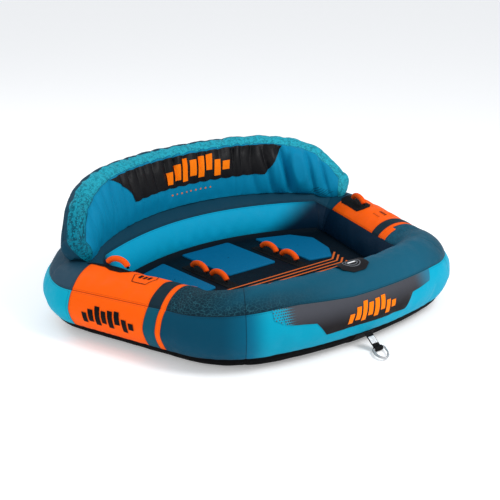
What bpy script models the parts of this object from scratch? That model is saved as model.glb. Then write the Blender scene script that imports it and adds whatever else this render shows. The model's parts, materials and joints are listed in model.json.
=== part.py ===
"""Three-rider towable tube with a backrest, built as its separate pieces.

The row frame: X runs across the riders, the boat pulls towards -Y, +Z is up.
The origin is on the flat underside, on the centre plane. All lengths are metres.
"""
import math

import bmesh
import bpy
from mathutils import Matrix, Vector

# ---- driving dimensions: the ring's centreline in plan
REAR_CORNER_X = 0.903
REAR_CORNER_Y = 0.346
FRONT_CORNER_X = 0.643
FRONT_CORNER_Y = -0.568
FRONT_BOW = 0.110
REAR_BOW = 0.278
FRONT_CORNER_CUT = 0.173
REAR_CORNER_CUT = 0.151
FRONT_CORNER_PULL = 0.62
REAR_CORNER_PULL = 0.59
FRONT_PIECES = 4
FRONT_CORNER_PIECES = 5
SIDE_PIECES = 6
REAR_CORNER_PIECES = 6
REAR_PIECES = 5
SIDE_FIRST_KNOT = FRONT_PIECES + FRONT_CORNER_PIECES - 1
REAR_CORNER_KNOT = FRONT_PIECES + FRONT_CORNER_PIECES + SIDE_PIECES + REAR_CORNER_PIECES // 2

# ---- the tube's section: half width and half height at the side, front and rear
HALF_WIDTH_SIDE = 0.172
HALF_WIDTH_FRONT = 0.152
HALF_WIDTH_REAR = 0.169
HALF_HEIGHT_SIDE = 0.164
HALF_HEIGHT_FRONT = 0.187
HALF_HEIGHT_REAR = 0.196
SECTION_POWER = 1.76

# ---- seams, as angles round the section from the outer equator over the top
SEAM_BOTTOM = -0.694
SEAM_OUTER = 0.555
SEAM_INNER = 2.412
SEAM_FLOOR = 3.30
SECTION_BOTTOM = -math.pi / 2
SEAM_GAP = 0.010

# ---- the coloured bands across the side tubes, as places along Y
PATCH_BACK_Y = 0.200
PATCH_FRONT_Y = -0.228
STRIPE_BACK_Y = -0.293
STRIPE_FRONT_Y = -0.322
PANEL_GAP = 0.0008

# ---- fabric and bladder walls
SKIN = 0.002
BLADDER_INSET = 0.007
BLADDER_WALL = 0.0015

# ---- the floor
FLOOR_TOP = 0.150
FLOOR_BOTTOM = 0.008
PAD_THICKNESS = 0.009
PAD_LIFT = 0.0005
CENTRE_PAD_HALF = 0.157
HANDLE_STRIP_X = 0.233
HANDLE_STRIP_HALF = 0.034
HANDLE_STRIP_FRONT = -0.105
HANDLE_STRIP_REAR = 0.285
HANDLE_STRIP_THICKNESS = 0.003
CENTRE_PAD_FRONT = 0.030
CENTRE_PAD_REAR = 0.425
OUTER_PAD_CORNERS = [
    (0.309, -0.060), (0.440, -0.090), (0.515, 0.010), (0.565, 0.190), (0.500, 0.310),
    (0.309, 0.380)]

# ---- the backrest, a bolster bent round a vertical axis
BACK_AXIS_Y = -0.47
BACK_END_ANGLE = math.radians(50.6)
BACK_SEAM_TOP = 0.630
BACK_FRONT_RADIUS = 1.030
BACK_REAR_RADIUS = 1.180
BACK_FRONT_FLARE = 0.080
BACK_REAR_FLARE = 0.030
BACK_LEAN = 0.22
BACK_BASE_LIFT = 0.011
BACK_CROWN = 0.030
BACK_FRONT_PUFF = 0.020
BACK_REAR_PUFF = 0.026
BACK_FALL_POWER = 5.6
BACK_ROUND_POWER = 1.2
BACK_MEAN_BASE = 0.34

# ---- handles
HANDLE_HALF = 0.064
HANDLE_RISE = 0.042
SIDE_HANDLE_PLACE = 1.285
SIDE_HANDLE_ANGLE = 1.78
SIDE_BACKING_ENDS = (1.200, 1.450)
SIDE_BACKING_ANGLES = (1.42, 2.08)
FLOOR_HANDLE_REAR_Y = 0.172
FLOOR_HANDLE_FRONT_Y = 0.012
GRIP_START = 0.36
GRIP_RADIUS = 0.0145
GRIP_BORE = 0.0075

# ---- the tow line pieces
TOW_ROOT = Vector((0.0, -0.799, 0.0745))
TOW_END = Vector((0.0, -0.872, 0.0145))
TOW_WIDTH = 0.046
TOW_THICKNESS = 0.004
STRAP_LOOP_RADIUS = 0.0125
STRAP_LOOP_LENGTH = 0.044
ROD_RADIUS = 0.0055
CONNECTOR_YAW = math.radians(26.0)
CONNECTOR_SIDE = [
    (-0.0380, 0.020), (-0.0365, 0.050), (-0.0290, 0.080), (-0.0170, 0.101), (0.0, 0.112),
    (0.0170, 0.101), (0.0260, 0.084)]
CONNECTOR_GATE = [(0.0355, 0.0105), (0.0350, 0.045), (0.0290, 0.0780)]
CONNECTOR_BEND = 0.030

# ---- valves and the zip
VALVE_RADIUS = 0.021
VALVE_HOLE = 0.011
VALVE_STEM = 0.0095
CAP_RADIUS = 0.0192
CAP_TOP = 0.0050
MAIN_VALVE_ANGLE = 1.55
FLAP_HALF = 0.083
FLAP_ANGLES = (1.13, 1.98)
FLAP_LIFT = 0.0118
FLAP_THICKNESS = 0.003
SEAT_VALVE_Y = -0.440
ZIP_HALF = 0.350
ZIP_SEAM = -0.20
ZIP_HALF_WIDTH = 0.075
SLIDER_ANGLE = math.radians(11.5)

TEAL = (0.0, 0.33, 0.50, 1)
PETROL = (0.04, 0.16, 0.24, 1)
NAVY = (0.01, 0.03, 0.06, 1)
ORANGE = (0.95, 0.20, 0.01, 1)
BLACK = (0.012, 0.012, 0.014, 1)
GREY = (0.10, 0.10, 0.11, 1)
WHITE = (0.8, 0.8, 0.8, 1)
SILVER = (0.75, 0.76, 0.78, 1)


# ---------------------------------------------------------------- scene and materials
def clear_scene():
    for item in list(bpy.data.objects):
        bpy.data.objects.remove(item, do_unlink=True)


def new_collection(name):
    group = bpy.data.collections.new(name)
    bpy.context.scene.collection.children.link(group)
    return group


def material(name, colour, roughness=0.6, metallic=0.0):
    found = bpy.data.materials.get(name)
    if found:
        return found
    made = bpy.data.materials.new(name)
    made.use_nodes = True
    shader = made.node_tree.nodes["Principled BSDF"]
    shader.inputs["Base Color"].default_value = colour
    shader.inputs["Roughness"].default_value = roughness
    shader.inputs["Metallic"].default_value = metallic
    return made


clear_scene()
PARTS = new_collection("towable_tube")
CUTTERS = new_collection("cutters")
NYLON_TEAL = material("nylon_teal", TEAL)
NYLON_PETROL = material("nylon_petrol", PETROL)
NYLON_NAVY = material("nylon_navy", NAVY)
NYLON_ORANGE = material("nylon_orange", ORANGE)
NYLON_BLACK = material("nylon_black", BLACK)
NYLON_GREY = material("nylon_grey", GREY)
WEBBING = material("webbing_black", BLACK, 0.8)
FOAM_ORANGE = material("grip_orange", ORANGE, 0.7)
PVC = material("bladder_pvc", (0.25, 0.27, 0.3, 1), 0.4)
PLASTIC = material("valve_plastic", BLACK, 0.35)
LABEL = material("label_white", WHITE, 0.7)
ALLOY = material("alloy", SILVER, 0.3, 1.0)


def add_object(name, data, finish, group=None):
    made = bpy.data.objects.new(name, data)
    (group or PARTS).objects.link(made)
    data.materials.append(finish)
    return made


def mesh_object(name, points, faces, finish, group=None):
    data = bpy.data.meshes.new(name)
    data.from_pydata([tuple(p) for p in points], [], faces)
    data.validate()
    data.shade_smooth()
    return add_object(name, data, finish, group)


def solidify(target, thickness, offset=-1.0):
    modifier = target.modifiers.new("thickness", "SOLIDIFY")
    modifier.thickness = thickness
    modifier.offset = offset
    return modifier


def bevel(target, width, segments=2):
    modifier = target.modifiers.new("edges", "BEVEL")
    modifier.width = width
    modifier.segments = segments
    modifier.limit_method = "ANGLE"
    modifier.angle_limit = math.radians(40)
    return modifier


def make_cutter(target):
    target.hide_render = True
    target.display_type = "WIRE"
    for group in list(target.users_collection):
        group.objects.unlink(target)
    CUTTERS.objects.link(target)


def cut(target, cutter):
    modifier = target.modifiers.new("cut", "BOOLEAN")
    modifier.operation = "DIFFERENCE"
    modifier.solver = "EXACT"
    modifier.object = cutter


def basis(origin, axis, side):
    """A matrix whose Z runs along axis and whose X is as near to side as it can be."""
    z = Vector(axis).normalized()
    x = (Vector(side) - z * z.dot(Vector(side))).normalized()
    y = z.cross(x)
    turned = Matrix((x, y, z)).transposed().to_4x4()
    return Matrix.Translation(origin) @ turned


# ---------------------------------------------------------------- the ring's plan
def bezier(p0, p1, p2, p3, count):
    out = []
    for i in range(count + 1):
        t = i / count
        r = 1 - t
        out.append(p0 * r**3 + p1 * 3 * r * r * t + p2 * 3 * r * t * t + p3 * t**3)
    return out


def front_point(x):
    return Vector((x, FRONT_CORNER_Y - FRONT_BOW * (1 - (x / FRONT_CORNER_X) ** 2)))


def rear_point(x):
    return Vector((x, REAR_CORNER_Y + REAR_BOW * (1 - (x / REAR_CORNER_X) ** 2)))


def half_plan():
    """Knots of the right half, from the front's middle to the rear's middle."""
    side = Vector((REAR_CORNER_X - FRONT_CORNER_X, REAR_CORNER_Y - FRONT_CORNER_Y)).normalized()
    front_x = FRONT_CORNER_X - FRONT_CORNER_CUT
    rear_x = REAR_CORNER_X - REAR_CORNER_CUT
    front_end = front_point(front_x)
    rear_end = rear_point(rear_x)
    front_turn = Vector((1, 2 * FRONT_BOW * front_x / FRONT_CORNER_X**2)).normalized()
    rear_turn = Vector((-1, 2 * REAR_BOW * rear_x / REAR_CORNER_X**2)).normalized()
    side_start = Vector((FRONT_CORNER_X, FRONT_CORNER_Y)) + side * FRONT_CORNER_CUT
    side_end = Vector((REAR_CORNER_X, REAR_CORNER_Y)) - side * REAR_CORNER_CUT
    front = [front_point(front_x * i / FRONT_PIECES) for i in range(FRONT_PIECES)]
    reach = FRONT_CORNER_CUT * FRONT_CORNER_PULL
    front_corner = bezier(front_end, front_end + front_turn * reach, side_start - side * reach,
                          side_start, FRONT_CORNER_PIECES)
    straight = [side_start.lerp(side_end, i / SIDE_PIECES) for i in range(1, SIDE_PIECES)]
    reach = REAR_CORNER_CUT * REAR_CORNER_PULL
    rear_corner = bezier(side_end, side_end + side * reach, rear_end - rear_turn * reach,
                         rear_end, REAR_CORNER_PIECES)
    rear = [rear_point(rear_x * (1 - i / REAR_PIECES)) for i in range(1, REAR_PIECES + 1)]
    return front + front_corner + straight + rear_corner + rear


def arc_lengths(points):
    out = [0.0]
    for before, after in zip(points, points[1:]):
        out.append(out[-1] + (after - before).length)
    return out


HALF = half_plan()
KNOTS = arc_lengths(HALF)
HALF_LENGTH = KNOTS[-1]


def half_normal(i):
    before = HALF[i - 1] if i else Vector((-HALF[1].x, HALF[1].y))
    last = len(HALF) - 1
    after = HALF[i + 1] if i < last else Vector((-HALF[last - 1].x, HALF[last - 1].y))
    along = (after - before).normalized()
    return Vector((along.y, -along.x))


NORMALS = [half_normal(i) for i in range(len(HALF))]


def plan_at(s):
    """Centre and outward normal at arc length s: 0 is the front's middle, + is the right."""
    period = 2 * HALF_LENGTH
    s = (s + HALF_LENGTH) % period - HALF_LENGTH
    side = 1 if s >= 0 else -1
    s = abs(s)
    i = max(k for k in range(len(KNOTS) - 1) if KNOTS[k] <= s + 1e-9)
    t = (s - KNOTS[i]) / (KNOTS[i + 1] - KNOTS[i])
    centre = HALF[i].lerp(HALF[i + 1], t)
    normal = NORMALS[i].lerp(NORMALS[i + 1], t).normalized()
    return Vector((centre.x * side, centre.y)), Vector((normal.x * side, normal.y))


def s_at_y(y):
    """Arc length on the right side tube where the centreline crosses y."""
    for i in range(SIDE_FIRST_KNOT, len(HALF)):
        if HALF[i].y >= y:
            t = (y - HALF[i - 1].y) / (HALF[i].y - HALF[i - 1].y)
            return KNOTS[i - 1] + t * (KNOTS[i] - KNOTS[i - 1])
    return HALF_LENGTH


def stations(start, end):
    """Every knot between two arc lengths, on both halves, with the two ends."""
    every = [-k for k in reversed(KNOTS)] + KNOTS[1:]
    every += [2 * HALF_LENGTH - k for k in reversed(KNOTS[:-1])]
    inside = [k for k in every if start + 0.004 < k < end - 0.004]
    return [start] + inside + [end]


RING_STATIONS = [-k for k in reversed(KNOTS[1:])] + KNOTS[:-1]


# ---------------------------------------------------------------- the tube's section
def section_size(normal):
    front = max(0.0, -normal.y) ** 2
    rear = max(0.0, normal.y) ** 2
    side = normal.x**2
    width = HALF_WIDTH_SIDE * side + HALF_WIDTH_FRONT * front + HALF_WIDTH_REAR * rear
    height = HALF_HEIGHT_SIDE * side + HALF_HEIGHT_FRONT * front + HALF_HEIGHT_REAR * rear
    return width, height


def signed_power(value, power):
    return math.copysign(abs(value) ** power, value)


def ring_point(s, angle, inset=0.0):
    centre, normal = plan_at(s)
    width, height = section_size(normal)
    power = 2 / SECTION_POWER
    out = (width - inset) * signed_power(math.cos(angle), power)
    up = height + (height - inset) * signed_power(math.sin(angle), power)
    return Vector((centre.x + normal.x * out, centre.y + normal.y * out, up))


def ring_normal(s, angle):
    step = 0.02
    along = ring_point(s + 0.004, angle) - ring_point(s - 0.004, angle)
    round_way = ring_point(s, angle + step) - ring_point(s, angle - step)
    return along.cross(round_way).normalized()


def ring_top(x, y, clear):
    """Height over a point of the plan of a surface that lies clear of the ring's upper side."""
    best = None
    point = Vector((abs(x), y))
    for i in range(len(HALF) - 1):
        along = HALF[i + 1] - HALF[i]
        t = min(1.0, max(0.0, (point - HALF[i]).dot(along) / along.length_squared))
        away = (point - HALF[i] - along * t).length
        if best is None or away < best[0]:
            best = (away, NORMALS[i].lerp(NORMALS[i + 1], t))
    width, height = section_size(best[1])
    reach = min(1.0, best[0] / (width + clear))
    return height + (height + clear) * (1 - reach**SECTION_POWER) ** (1 / SECTION_POWER)


def steps(start, end, count):
    return [start + (end - start) * i / count for i in range(count + 1)]


def grid_faces(rows, columns, row_loop=False, column_loop=False):
    faces = []
    for i in range(rows if row_loop else rows - 1):
        for j in range(columns if column_loop else columns - 1):
            a = i * columns + j
            b = i * columns + (j + 1) % columns
            c = ((i + 1) % rows) * columns + (j + 1) % columns
            d = ((i + 1) % rows) * columns + j
            faces.append((a, d, c, b))
    return faces


def ring_panel(name, ends, angles, finish, inset=0.0, thickness=SKIN):
    """A sewn panel of the cover: a patch of the tube's surface with a cloth's thickness."""
    places = RING_STATIONS if ends is None else stations(*ends)
    points = [ring_point(s, angle, inset) for s in places for angle in angles]
    faces = grid_faces(len(places), len(angles), row_loop=ends is None)
    panel = mesh_object(name, points, faces, finish)
    solidify(panel, thickness)
    return panel


# ---------------------------------------------------------------- the cover's panels
PATCH_BACK = s_at_y(PATCH_BACK_Y)
PATCH_FRONT = s_at_y(PATCH_FRONT_Y)
STRIPE_BACK = s_at_y(STRIPE_BACK_Y)
STRIPE_FRONT = s_at_y(STRIPE_FRONT_Y)
UP_TO_OUTER = steps(SEAM_BOTTOM + SEAM_GAP, SEAM_OUTER - SEAM_GAP, 3)
OVER_TOP = steps(SEAM_OUTER + SEAM_GAP, SEAM_INNER - SEAM_GAP, 5)
DOWN_INSIDE = steps(SEAM_INNER + SEAM_GAP, SEAM_FLOOR, 3)
WHOLE_WRAP = steps(SEAM_BOTTOM + SEAM_GAP, SEAM_INNER - SEAM_GAP, 8)


def span(start, end):
    return (start + PANEL_GAP, end - PANEL_GAP)


def mirrored_span(start, end):
    return (-end + PANEL_GAP, -start - PANEL_GAP)


def build_front_panels():
    front = span(-STRIPE_FRONT, STRIPE_FRONT)
    ring_panel("front_side_panel", front, UP_TO_OUTER, NYLON_TEAL)
    top = ring_panel("front_top_panel", front, OVER_TOP, NYLON_PETROL)
    cut(top, valve_hole("front_top_hole", MAIN_VALVE, MAIN_VALVE_AXIS, VALVE_RADIUS + 0.0015))


def outline_patch(name, outline, columns, rows, finish, lift, thickness):
    """A patch on the ring whose lower edge is an outline of (place, angle) under a level top."""
    top = outline[-1][1]
    points = []
    for s in steps(outline[0][0], outline[-1][0], columns):
        for angle in steps(lower_edge(outline, s), top, rows):
            points.append(ring_point(s, angle, -lift))
    patch = mesh_object(name, points, grid_faces(columns + 1, rows + 1), finish)
    solidify(patch, thickness)
    return patch


def lower_edge(outline, s):
    for (s0, low0), (s1, low1) in zip(outline, outline[1:]):
        if s <= s1 + 1e-9:
            return low0 + (low1 - low0) * (s - s0) / max(1e-6, s1 - s0)
    return outline[-1][1]


def build_front_graphic():
    """The dark printed panel sewn over the middle of the front's side."""
    top = SEAM_OUTER - 3 * SEAM_GAP
    half = [(0.0, -0.30), (0.235, -0.30), (0.285, 0.13), (0.420, 0.24), (0.440, top - 0.02)]
    left = [(-s, angle) for s, angle in reversed(half[1:])]
    outline = [(-0.4401, top)] + left + half + [(0.4401, top)]
    outline_patch("front_graphic_panel", outline, 22, 7, NYLON_GREY, 0.0032, 0.0012)


def build_rear_panels():
    rear = span(PATCH_BACK, 2 * HALF_LENGTH - PATCH_BACK)
    ring_panel("rear_side_panel", rear, UP_TO_OUTER, NYLON_TEAL)
    ring_panel("rear_top_panel", rear, OVER_TOP, NYLON_NAVY)


def build_side_bands(side, spans):
    ring_panel("side_patch_" + side, spans(PATCH_FRONT, PATCH_BACK), WHOLE_WRAP, NYLON_ORANGE)
    ring_panel("side_band_" + side, spans(STRIPE_BACK, PATCH_FRONT), WHOLE_WRAP, NYLON_NAVY)
    ring_panel("side_stripe_" + side, spans(STRIPE_FRONT, STRIPE_BACK), WHOLE_WRAP, NYLON_ORANGE)


def build_inner_walls():
    corner = KNOTS[REAR_CORNER_KNOT]
    rear = span(corner, 2 * HALF_LENGTH - corner)
    around = span(-corner, corner)
    ring_panel("rear_inner_wall", rear, DOWN_INSIDE, NYLON_TEAL)
    ring_panel("front_inner_wall", around, DOWN_INSIDE, NYLON_NAVY)


def build_bottom_cover():
    """The black underside: a flat sheet that turns up to the bottom seam all round."""
    angles = steps(SECTION_BOTTOM, SEAM_BOTTOM - SEAM_GAP, 3)
    points = [ring_point(s, angle) for s in RING_STATIONS for angle in angles]
    faces = grid_faces(len(RING_STATIONS), len(angles), row_loop=True)
    rim = [i * len(angles) for i in range(len(RING_STATIONS))]
    faces.append(tuple(reversed(rim)))
    cover = mesh_object("bottom_cover", points, faces, NYLON_BLACK)
    solidify(cover, SKIN)


# ---------------------------------------------------------------- the bladders
def tube_between(name, origin, axis, radius, length, finish, group=None, sides=20):
    data = bpy.data.meshes.new(name)
    builder = bmesh.new()
    bmesh.ops.create_cone(
        builder, cap_ends=True, segments=sides, radius1=radius, radius2=radius, depth=length)
    bmesh.ops.transform(builder, matrix=basis(origin, axis, (1, 0.01, 0)), verts=builder.verts)
    builder.to_mesh(data)
    builder.free()
    return add_object(name, data, finish, group)


def valve_hole(name, place, axis, radius):
    cutter = tube_between(name, place, axis, radius, 0.05, PLASTIC)
    make_cutter(cutter)
    return cutter


MAIN_VALVE = ring_point(0.0, MAIN_VALVE_ANGLE)
MAIN_VALVE_AXIS = ring_normal(0.0, MAIN_VALVE_ANGLE)
SEAT_VALVE = Vector((0.0, SEAT_VALVE_Y, FLOOR_TOP))


def build_main_bladder():
    angles = steps(0, 2 * math.pi, 14)[:-1]
    points = [ring_point(s, a, BLADDER_INSET) for s in RING_STATIONS for a in angles]
    faces = grid_faces(len(RING_STATIONS), len(angles), row_loop=True, column_loop=True)
    bladder = mesh_object("main_bladder", points, faces, PVC)
    solidify(bladder, BLADDER_WALL)
    cut(bladder, valve_hole("main_bladder_hole", MAIN_VALVE, MAIN_VALVE_AXIS, VALVE_HOLE))


def floor_outline(extra=0.0):
    out = []
    for s in RING_STATIONS:
        centre, normal = plan_at(s)
        width, _ = section_size(normal)
        out.append(centre - normal * (width + extra))
    return out


def extruded(name, outline, bottom, top, finish):
    """A flat outline with a thickness, from a 2D curve."""
    data = bpy.data.curves.new(name, "CURVE")
    data.dimensions = "2D"
    data.fill_mode = "BOTH"
    data.extrude = (top - bottom) / 2
    spline = data.splines.new("POLY")
    spline.points.add(len(outline) - 1)
    for point, place in zip(spline.points, outline):
        point.co = (place[0], place[1], 0, 1)
    spline.use_cyclic_u = True
    curve = bpy.data.objects.new(name + "_outline", data)
    PARTS.objects.link(curve)
    curve.location.z = (top + bottom) / 2
    return mesh_from_curve(name, curve, finish)


def mesh_from_curve(name, curve, finish):
    bpy.context.view_layer.update()
    evaluated = curve.evaluated_get(bpy.context.evaluated_depsgraph_get())
    data = bpy.data.meshes.new_from_object(evaluated)
    data.name = name
    builder = bmesh.new()
    builder.from_mesh(data)
    bmesh.ops.remove_doubles(builder, verts=builder.verts, dist=0.00001)
    bmesh.ops.recalc_face_normals(builder, faces=builder.faces)
    builder.to_mesh(data)
    builder.free()
    data.materials.clear()
    made = add_object(name, data, finish)
    made.matrix_world = curve.matrix_world.copy()
    bpy.data.objects.remove(curve, do_unlink=True)
    return made


def build_floor():
    bladder = extruded("floor_bladder", floor_outline(0.012), FLOOR_BOTTOM, FLOOR_TOP - 0.004, PVC)
    solidify(bladder, BLADDER_WALL)
    valve = Vector((SEAT_VALVE.x, SEAT_VALVE.y, FLOOR_TOP - 0.004))
    cut(bladder, valve_hole("floor_bladder_hole", valve, (0, 0, 1), VALVE_HOLE))
    panel = extruded("floor_panel", floor_outline(0.006), FLOOR_TOP - SKIN, FLOOR_TOP, NYLON_NAVY)
    cut(panel, valve_hole("floor_panel_hole", valve, (0, 0, 1), VALVE_RADIUS + 0.001))


# ---------------------------------------------------------------- pads on the floor
def rounded(corners, radius, pieces=3):
    """A polygon with each corner replaced by a short arc."""
    out = []
    count = len(corners)
    for i, corner in enumerate(corners):
        here = Vector(corner)
        before = (Vector(corners[i - 1]) - here).normalized()
        after = (Vector(corners[(i + 1) % count]) - here).normalized()
        start = here + before * radius
        end = here + after * radius
        for k in range(pieces + 1):
            t = k / pieces
            out.append(start * (1 - t) ** 2 + here * 2 * t * (1 - t) + end * t * t)
    return out


def pad(name, corners):
    base = FLOOR_TOP + PAD_LIFT
    extruded(name, rounded(corners, 0.02), base, base + PAD_THICKNESS, NYLON_TEAL)


def build_pads():
    half = CENTRE_PAD_HALF
    pad("seat_pad_centre", [(-half, CENTRE_PAD_FRONT), (half, CENTRE_PAD_FRONT),
                            (half, CENTRE_PAD_REAR), (-half, CENTRE_PAD_REAR)])
    pad("seat_pad_right", OUTER_PAD_CORNERS)
    pad("seat_pad_left", [(-x, y) for x, y in reversed(OUTER_PAD_CORNERS)])


def build_handle_strips():
    base = FLOOR_TOP + PAD_LIFT
    for side, sign in (("right", 1), ("left", -1)):
        low = HANDLE_STRIP_X * sign - HANDLE_STRIP_HALF
        high = HANDLE_STRIP_X * sign + HANDLE_STRIP_HALF
        corners = [(low, HANDLE_STRIP_FRONT), (high, HANDLE_STRIP_FRONT),
                   (high, HANDLE_STRIP_REAR), (low, HANDLE_STRIP_REAR)]
        outline = rounded(corners, 0.012)
        extruded("handle_strip_" + side, outline, base, base + HANDLE_STRIP_THICKNESS, WEBBING)


# ---------------------------------------------------------------- the backrest
def back_share(angle, inset=0.0):
    """Height of the bolster's top seam above its base, as a share of the height in the middle."""
    ratio = min(1.0, abs(angle) / (BACK_END_ANGLE - inset / BACK_FRONT_RADIUS))
    return (1 - ratio**BACK_FALL_POWER) ** (1 / BACK_ROUND_POWER)


def back_place(angle, radius, height):
    return Vector((radius * math.sin(angle), BACK_AXIS_Y + radius * math.cos(angle), height))


def back_base(angle, radius):
    """Where the bolster's underside rests, just clear of the ring below it."""
    spot = back_place(angle, radius, 0)
    return ring_top(spot.x, spot.y, BACK_BASE_LIFT)


def outline_normal(angle):
    """The outward direction of the bolster's outline, as (round the axis, up)."""
    step = 0.01
    before = max(-BACK_END_ANGLE, angle - step)
    after = min(BACK_END_ANGLE, angle + step)
    run = (after - before) * BACK_REAR_RADIUS
    climb = (back_share(after) - back_share(before)) * (BACK_SEAM_TOP - BACK_MEAN_BASE)
    length = math.hypot(run, climb)
    return -climb / length, run / length


def back_column(angle, inset=0.0):
    """One upright loop of the bolster: front face, gusset over the top, rear face, base."""
    outward = (angle / BACK_END_ANGLE) ** 2
    front = BACK_FRONT_RADIUS + BACK_FRONT_FLARE * outward + inset
    rear = BACK_REAR_RADIUS + BACK_REAR_FLARE * outward - inset
    low = back_base(angle, front) + inset
    rise = max(0.004, (BACK_SEAM_TOP - low - inset) * back_share(angle, inset))
    lean = BACK_LEAN * rise
    puff = min(1.0, rise / 0.10)
    points = []
    for t in steps(0, 1, 4):
        swell = BACK_FRONT_PUFF * puff * math.sin(math.pi * t)
        points.append(back_place(angle, front + lean * t - swell, low + rise * t))
    sideways, upwards = outline_normal(angle)
    for t in steps(0, 1, 4)[1:]:
        bulge = BACK_CROWN * math.sin(math.pi * t)
        radius = front + lean + (rear - front) * t
        turn = angle + sideways * bulge / radius
        points.append(back_place(turn, radius, low + rise + upwards * bulge))
    rear_low = min(low + rise, back_base(angle, rear) + inset)
    for t in steps(1, 0, 4)[1:]:
        swell = BACK_REAR_PUFF * puff * math.sin(math.pi * t)
        height = rear_low + (low + rise - rear_low) * t
        points.append(back_place(angle, rear + lean * t + swell, height))
    for radius in steps(rear, front, 4)[1:-1]:
        height = min(low + rise, back_base(angle, radius) + inset)
        points.append(back_place(angle, radius, height))
    return points


def back_angles(end, count=11):
    """Angles from one end to the other, closer together where the outline falls away."""
    return [end * math.sin(i / count * math.pi / 2) for i in range(-count, count + 1)]


def trimmed(column, first, last, gap):
    """Rows first to last of a column, drawn back a little from the seams at both ends."""
    size = len(column)
    rows = [column[i % size].copy() for i in range(first, last + 1)]
    start = (rows[1] - rows[0]).normalized() * gap
    end = (rows[-2] - rows[-1]).normalized() * gap
    rows[0] += start
    rows[-1] += end
    return rows


def back_panel(name, first, last, finish, end=BACK_END_ANGLE * 0.996, gap=0.0035):
    angles = back_angles(end)
    columns = [trimmed(back_column(angle), first, last, gap) for angle in angles]
    points = [point for column in columns for point in column]
    faces = grid_faces(len(angles), last - first + 1)
    panel = mesh_object(name, points, faces, finish)
    solidify(panel, SKIN)
    return panel


def build_backrest():
    short = BACK_END_ANGLE * 0.975
    back_panel("backrest_front_panel", 0, 4, NYLON_TEAL, short)
    back_panel("backrest_border", 4, 8, NYLON_PETROL)
    back_panel("backrest_rear_panel", 8, 12, NYLON_NAVY, short)
    back_panel("backrest_base_panel", 12, 16, NYLON_NAVY, short, 0.007)


def build_backrest_bladder():
    limit = BACK_END_ANGLE * 0.95
    angles = [angle for angle in back_angles(BACK_END_ANGLE * 0.996) if abs(angle) < limit]
    columns = [back_column(angle, 0.009) for angle in angles]
    size = len(columns[0])
    points = [point for column in columns for point in column]
    faces = grid_faces(len(columns), size, column_loop=True)
    last = (len(columns) - 1) * size
    faces.append(tuple(range(size)))
    faces.append(tuple(last + i for i in reversed(range(size))))
    bladder = mesh_object("backrest_bladder", points, faces, PVC)
    solidify(bladder, BLADDER_WALL)
    cut(bladder, valve_hole("backrest_bladder_hole", BACK_VALVE, BACK_VALVE_AXIS, VALVE_HOLE))


def back_valve_place():
    """The backrest's valve sits low in the middle of its rear face."""
    column = back_column(0.0)
    low, high = column[11], column[10]
    away = Vector((0, high.z - low.z, low.y - high.y)).normalized()
    return low.lerp(high, 0.6), away


BACK_VALVE, BACK_VALVE_AXIS = back_valve_place()


# ---------------------------------------------------------------- handles
def sweep(name, path, radius, finish, resolution=1, caps=True):
    """A round bar along a list of points."""
    data = bpy.data.curves.new(name, "CURVE")
    data.dimensions = "3D"
    data.bevel_depth = radius
    data.bevel_resolution = resolution
    data.use_fill_caps = caps
    spline = data.splines.new("POLY")
    spline.points.add(len(path) - 1)
    for point, place in zip(spline.points, path):
        point.co = (place[0], place[1], place[2], 1)
    curve = bpy.data.objects.new(name + "_path", data)
    PARTS.objects.link(curve)
    return mesh_from_curve(name, curve, finish)


def arch(frame, angles):
    """Points of a handle's upright arch at the given angles round it."""
    return [frame @ Vector((-HANDLE_HALF * math.cos(a), 0, HANDLE_RISE * math.sin(a)))
            for a in angles]


def build_handle(name, foot, along, up):
    """A foam grip on a webbing core; foot is the middle of the line through its sewn ends."""
    frame = basis(foot, up, along)
    lift = 0.006
    held = steps(GRIP_START, math.pi - GRIP_START, 9)
    grip = sweep(name + "_grip", arch(frame, held), GRIP_RADIUS, FOAM_ORANGE, 1, caps=False)
    solidify(grip, GRIP_RADIUS - GRIP_BORE)
    low = math.asin(lift / HANDLE_RISE)
    whole = [low] + held + [math.pi - low]
    sweep(name + "_core", arch(frame, whole), GRIP_BORE - 0.002, WEBBING, 0)


def build_side_handles():
    s = SIDE_HANDLE_PLACE
    angle = SIDE_HANDLE_ANGLE
    near, far = SIDE_BACKING_ENDS
    for side, sign in (("right", 1), ("left", -1)):
        foot = ring_point(s * sign, angle, -0.0075)
        up = ring_normal(s * sign, angle)
        along = ring_point(s * sign + 0.05, angle) - ring_point(s * sign - 0.05, angle)
        build_handle("side_handle_" + side, foot, along, up)
        ends = (near, far) if sign > 0 else (-far, -near)
        angles = steps(*SIDE_BACKING_ANGLES, 3)
        ring_panel("handle_backing_" + side, ends, angles, WEBBING, -0.0042, 0.003)


def build_floor_handles():
    for side, sign in (("right", 1), ("left", -1)):
        for place, y in (("rear", FLOOR_HANDLE_REAR_Y), ("front", FLOOR_HANDLE_FRONT_Y)):
            foot = Vector((HANDLE_STRIP_X * sign, y, FLOOR_TOP + PAD_LIFT + 0.004))
            build_handle("floor_handle_" + place + "_" + side, foot, (0, 1, 0), (0, 0, 1))


# ---------------------------------------------------------------- tow line pieces
def ribbon(name, path, width, thickness, finish):
    """A flat strap along a path in the plane X = 0."""
    points = []
    for place in path:
        for side in (-1, 1):
            points.append(Vector((width / 2 * side, place[1], place[2])))
    strap = mesh_object(name, points, grid_faces(len(path), 2), finish)
    solidify(strap, thickness, 0.0)
    return strap


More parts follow.
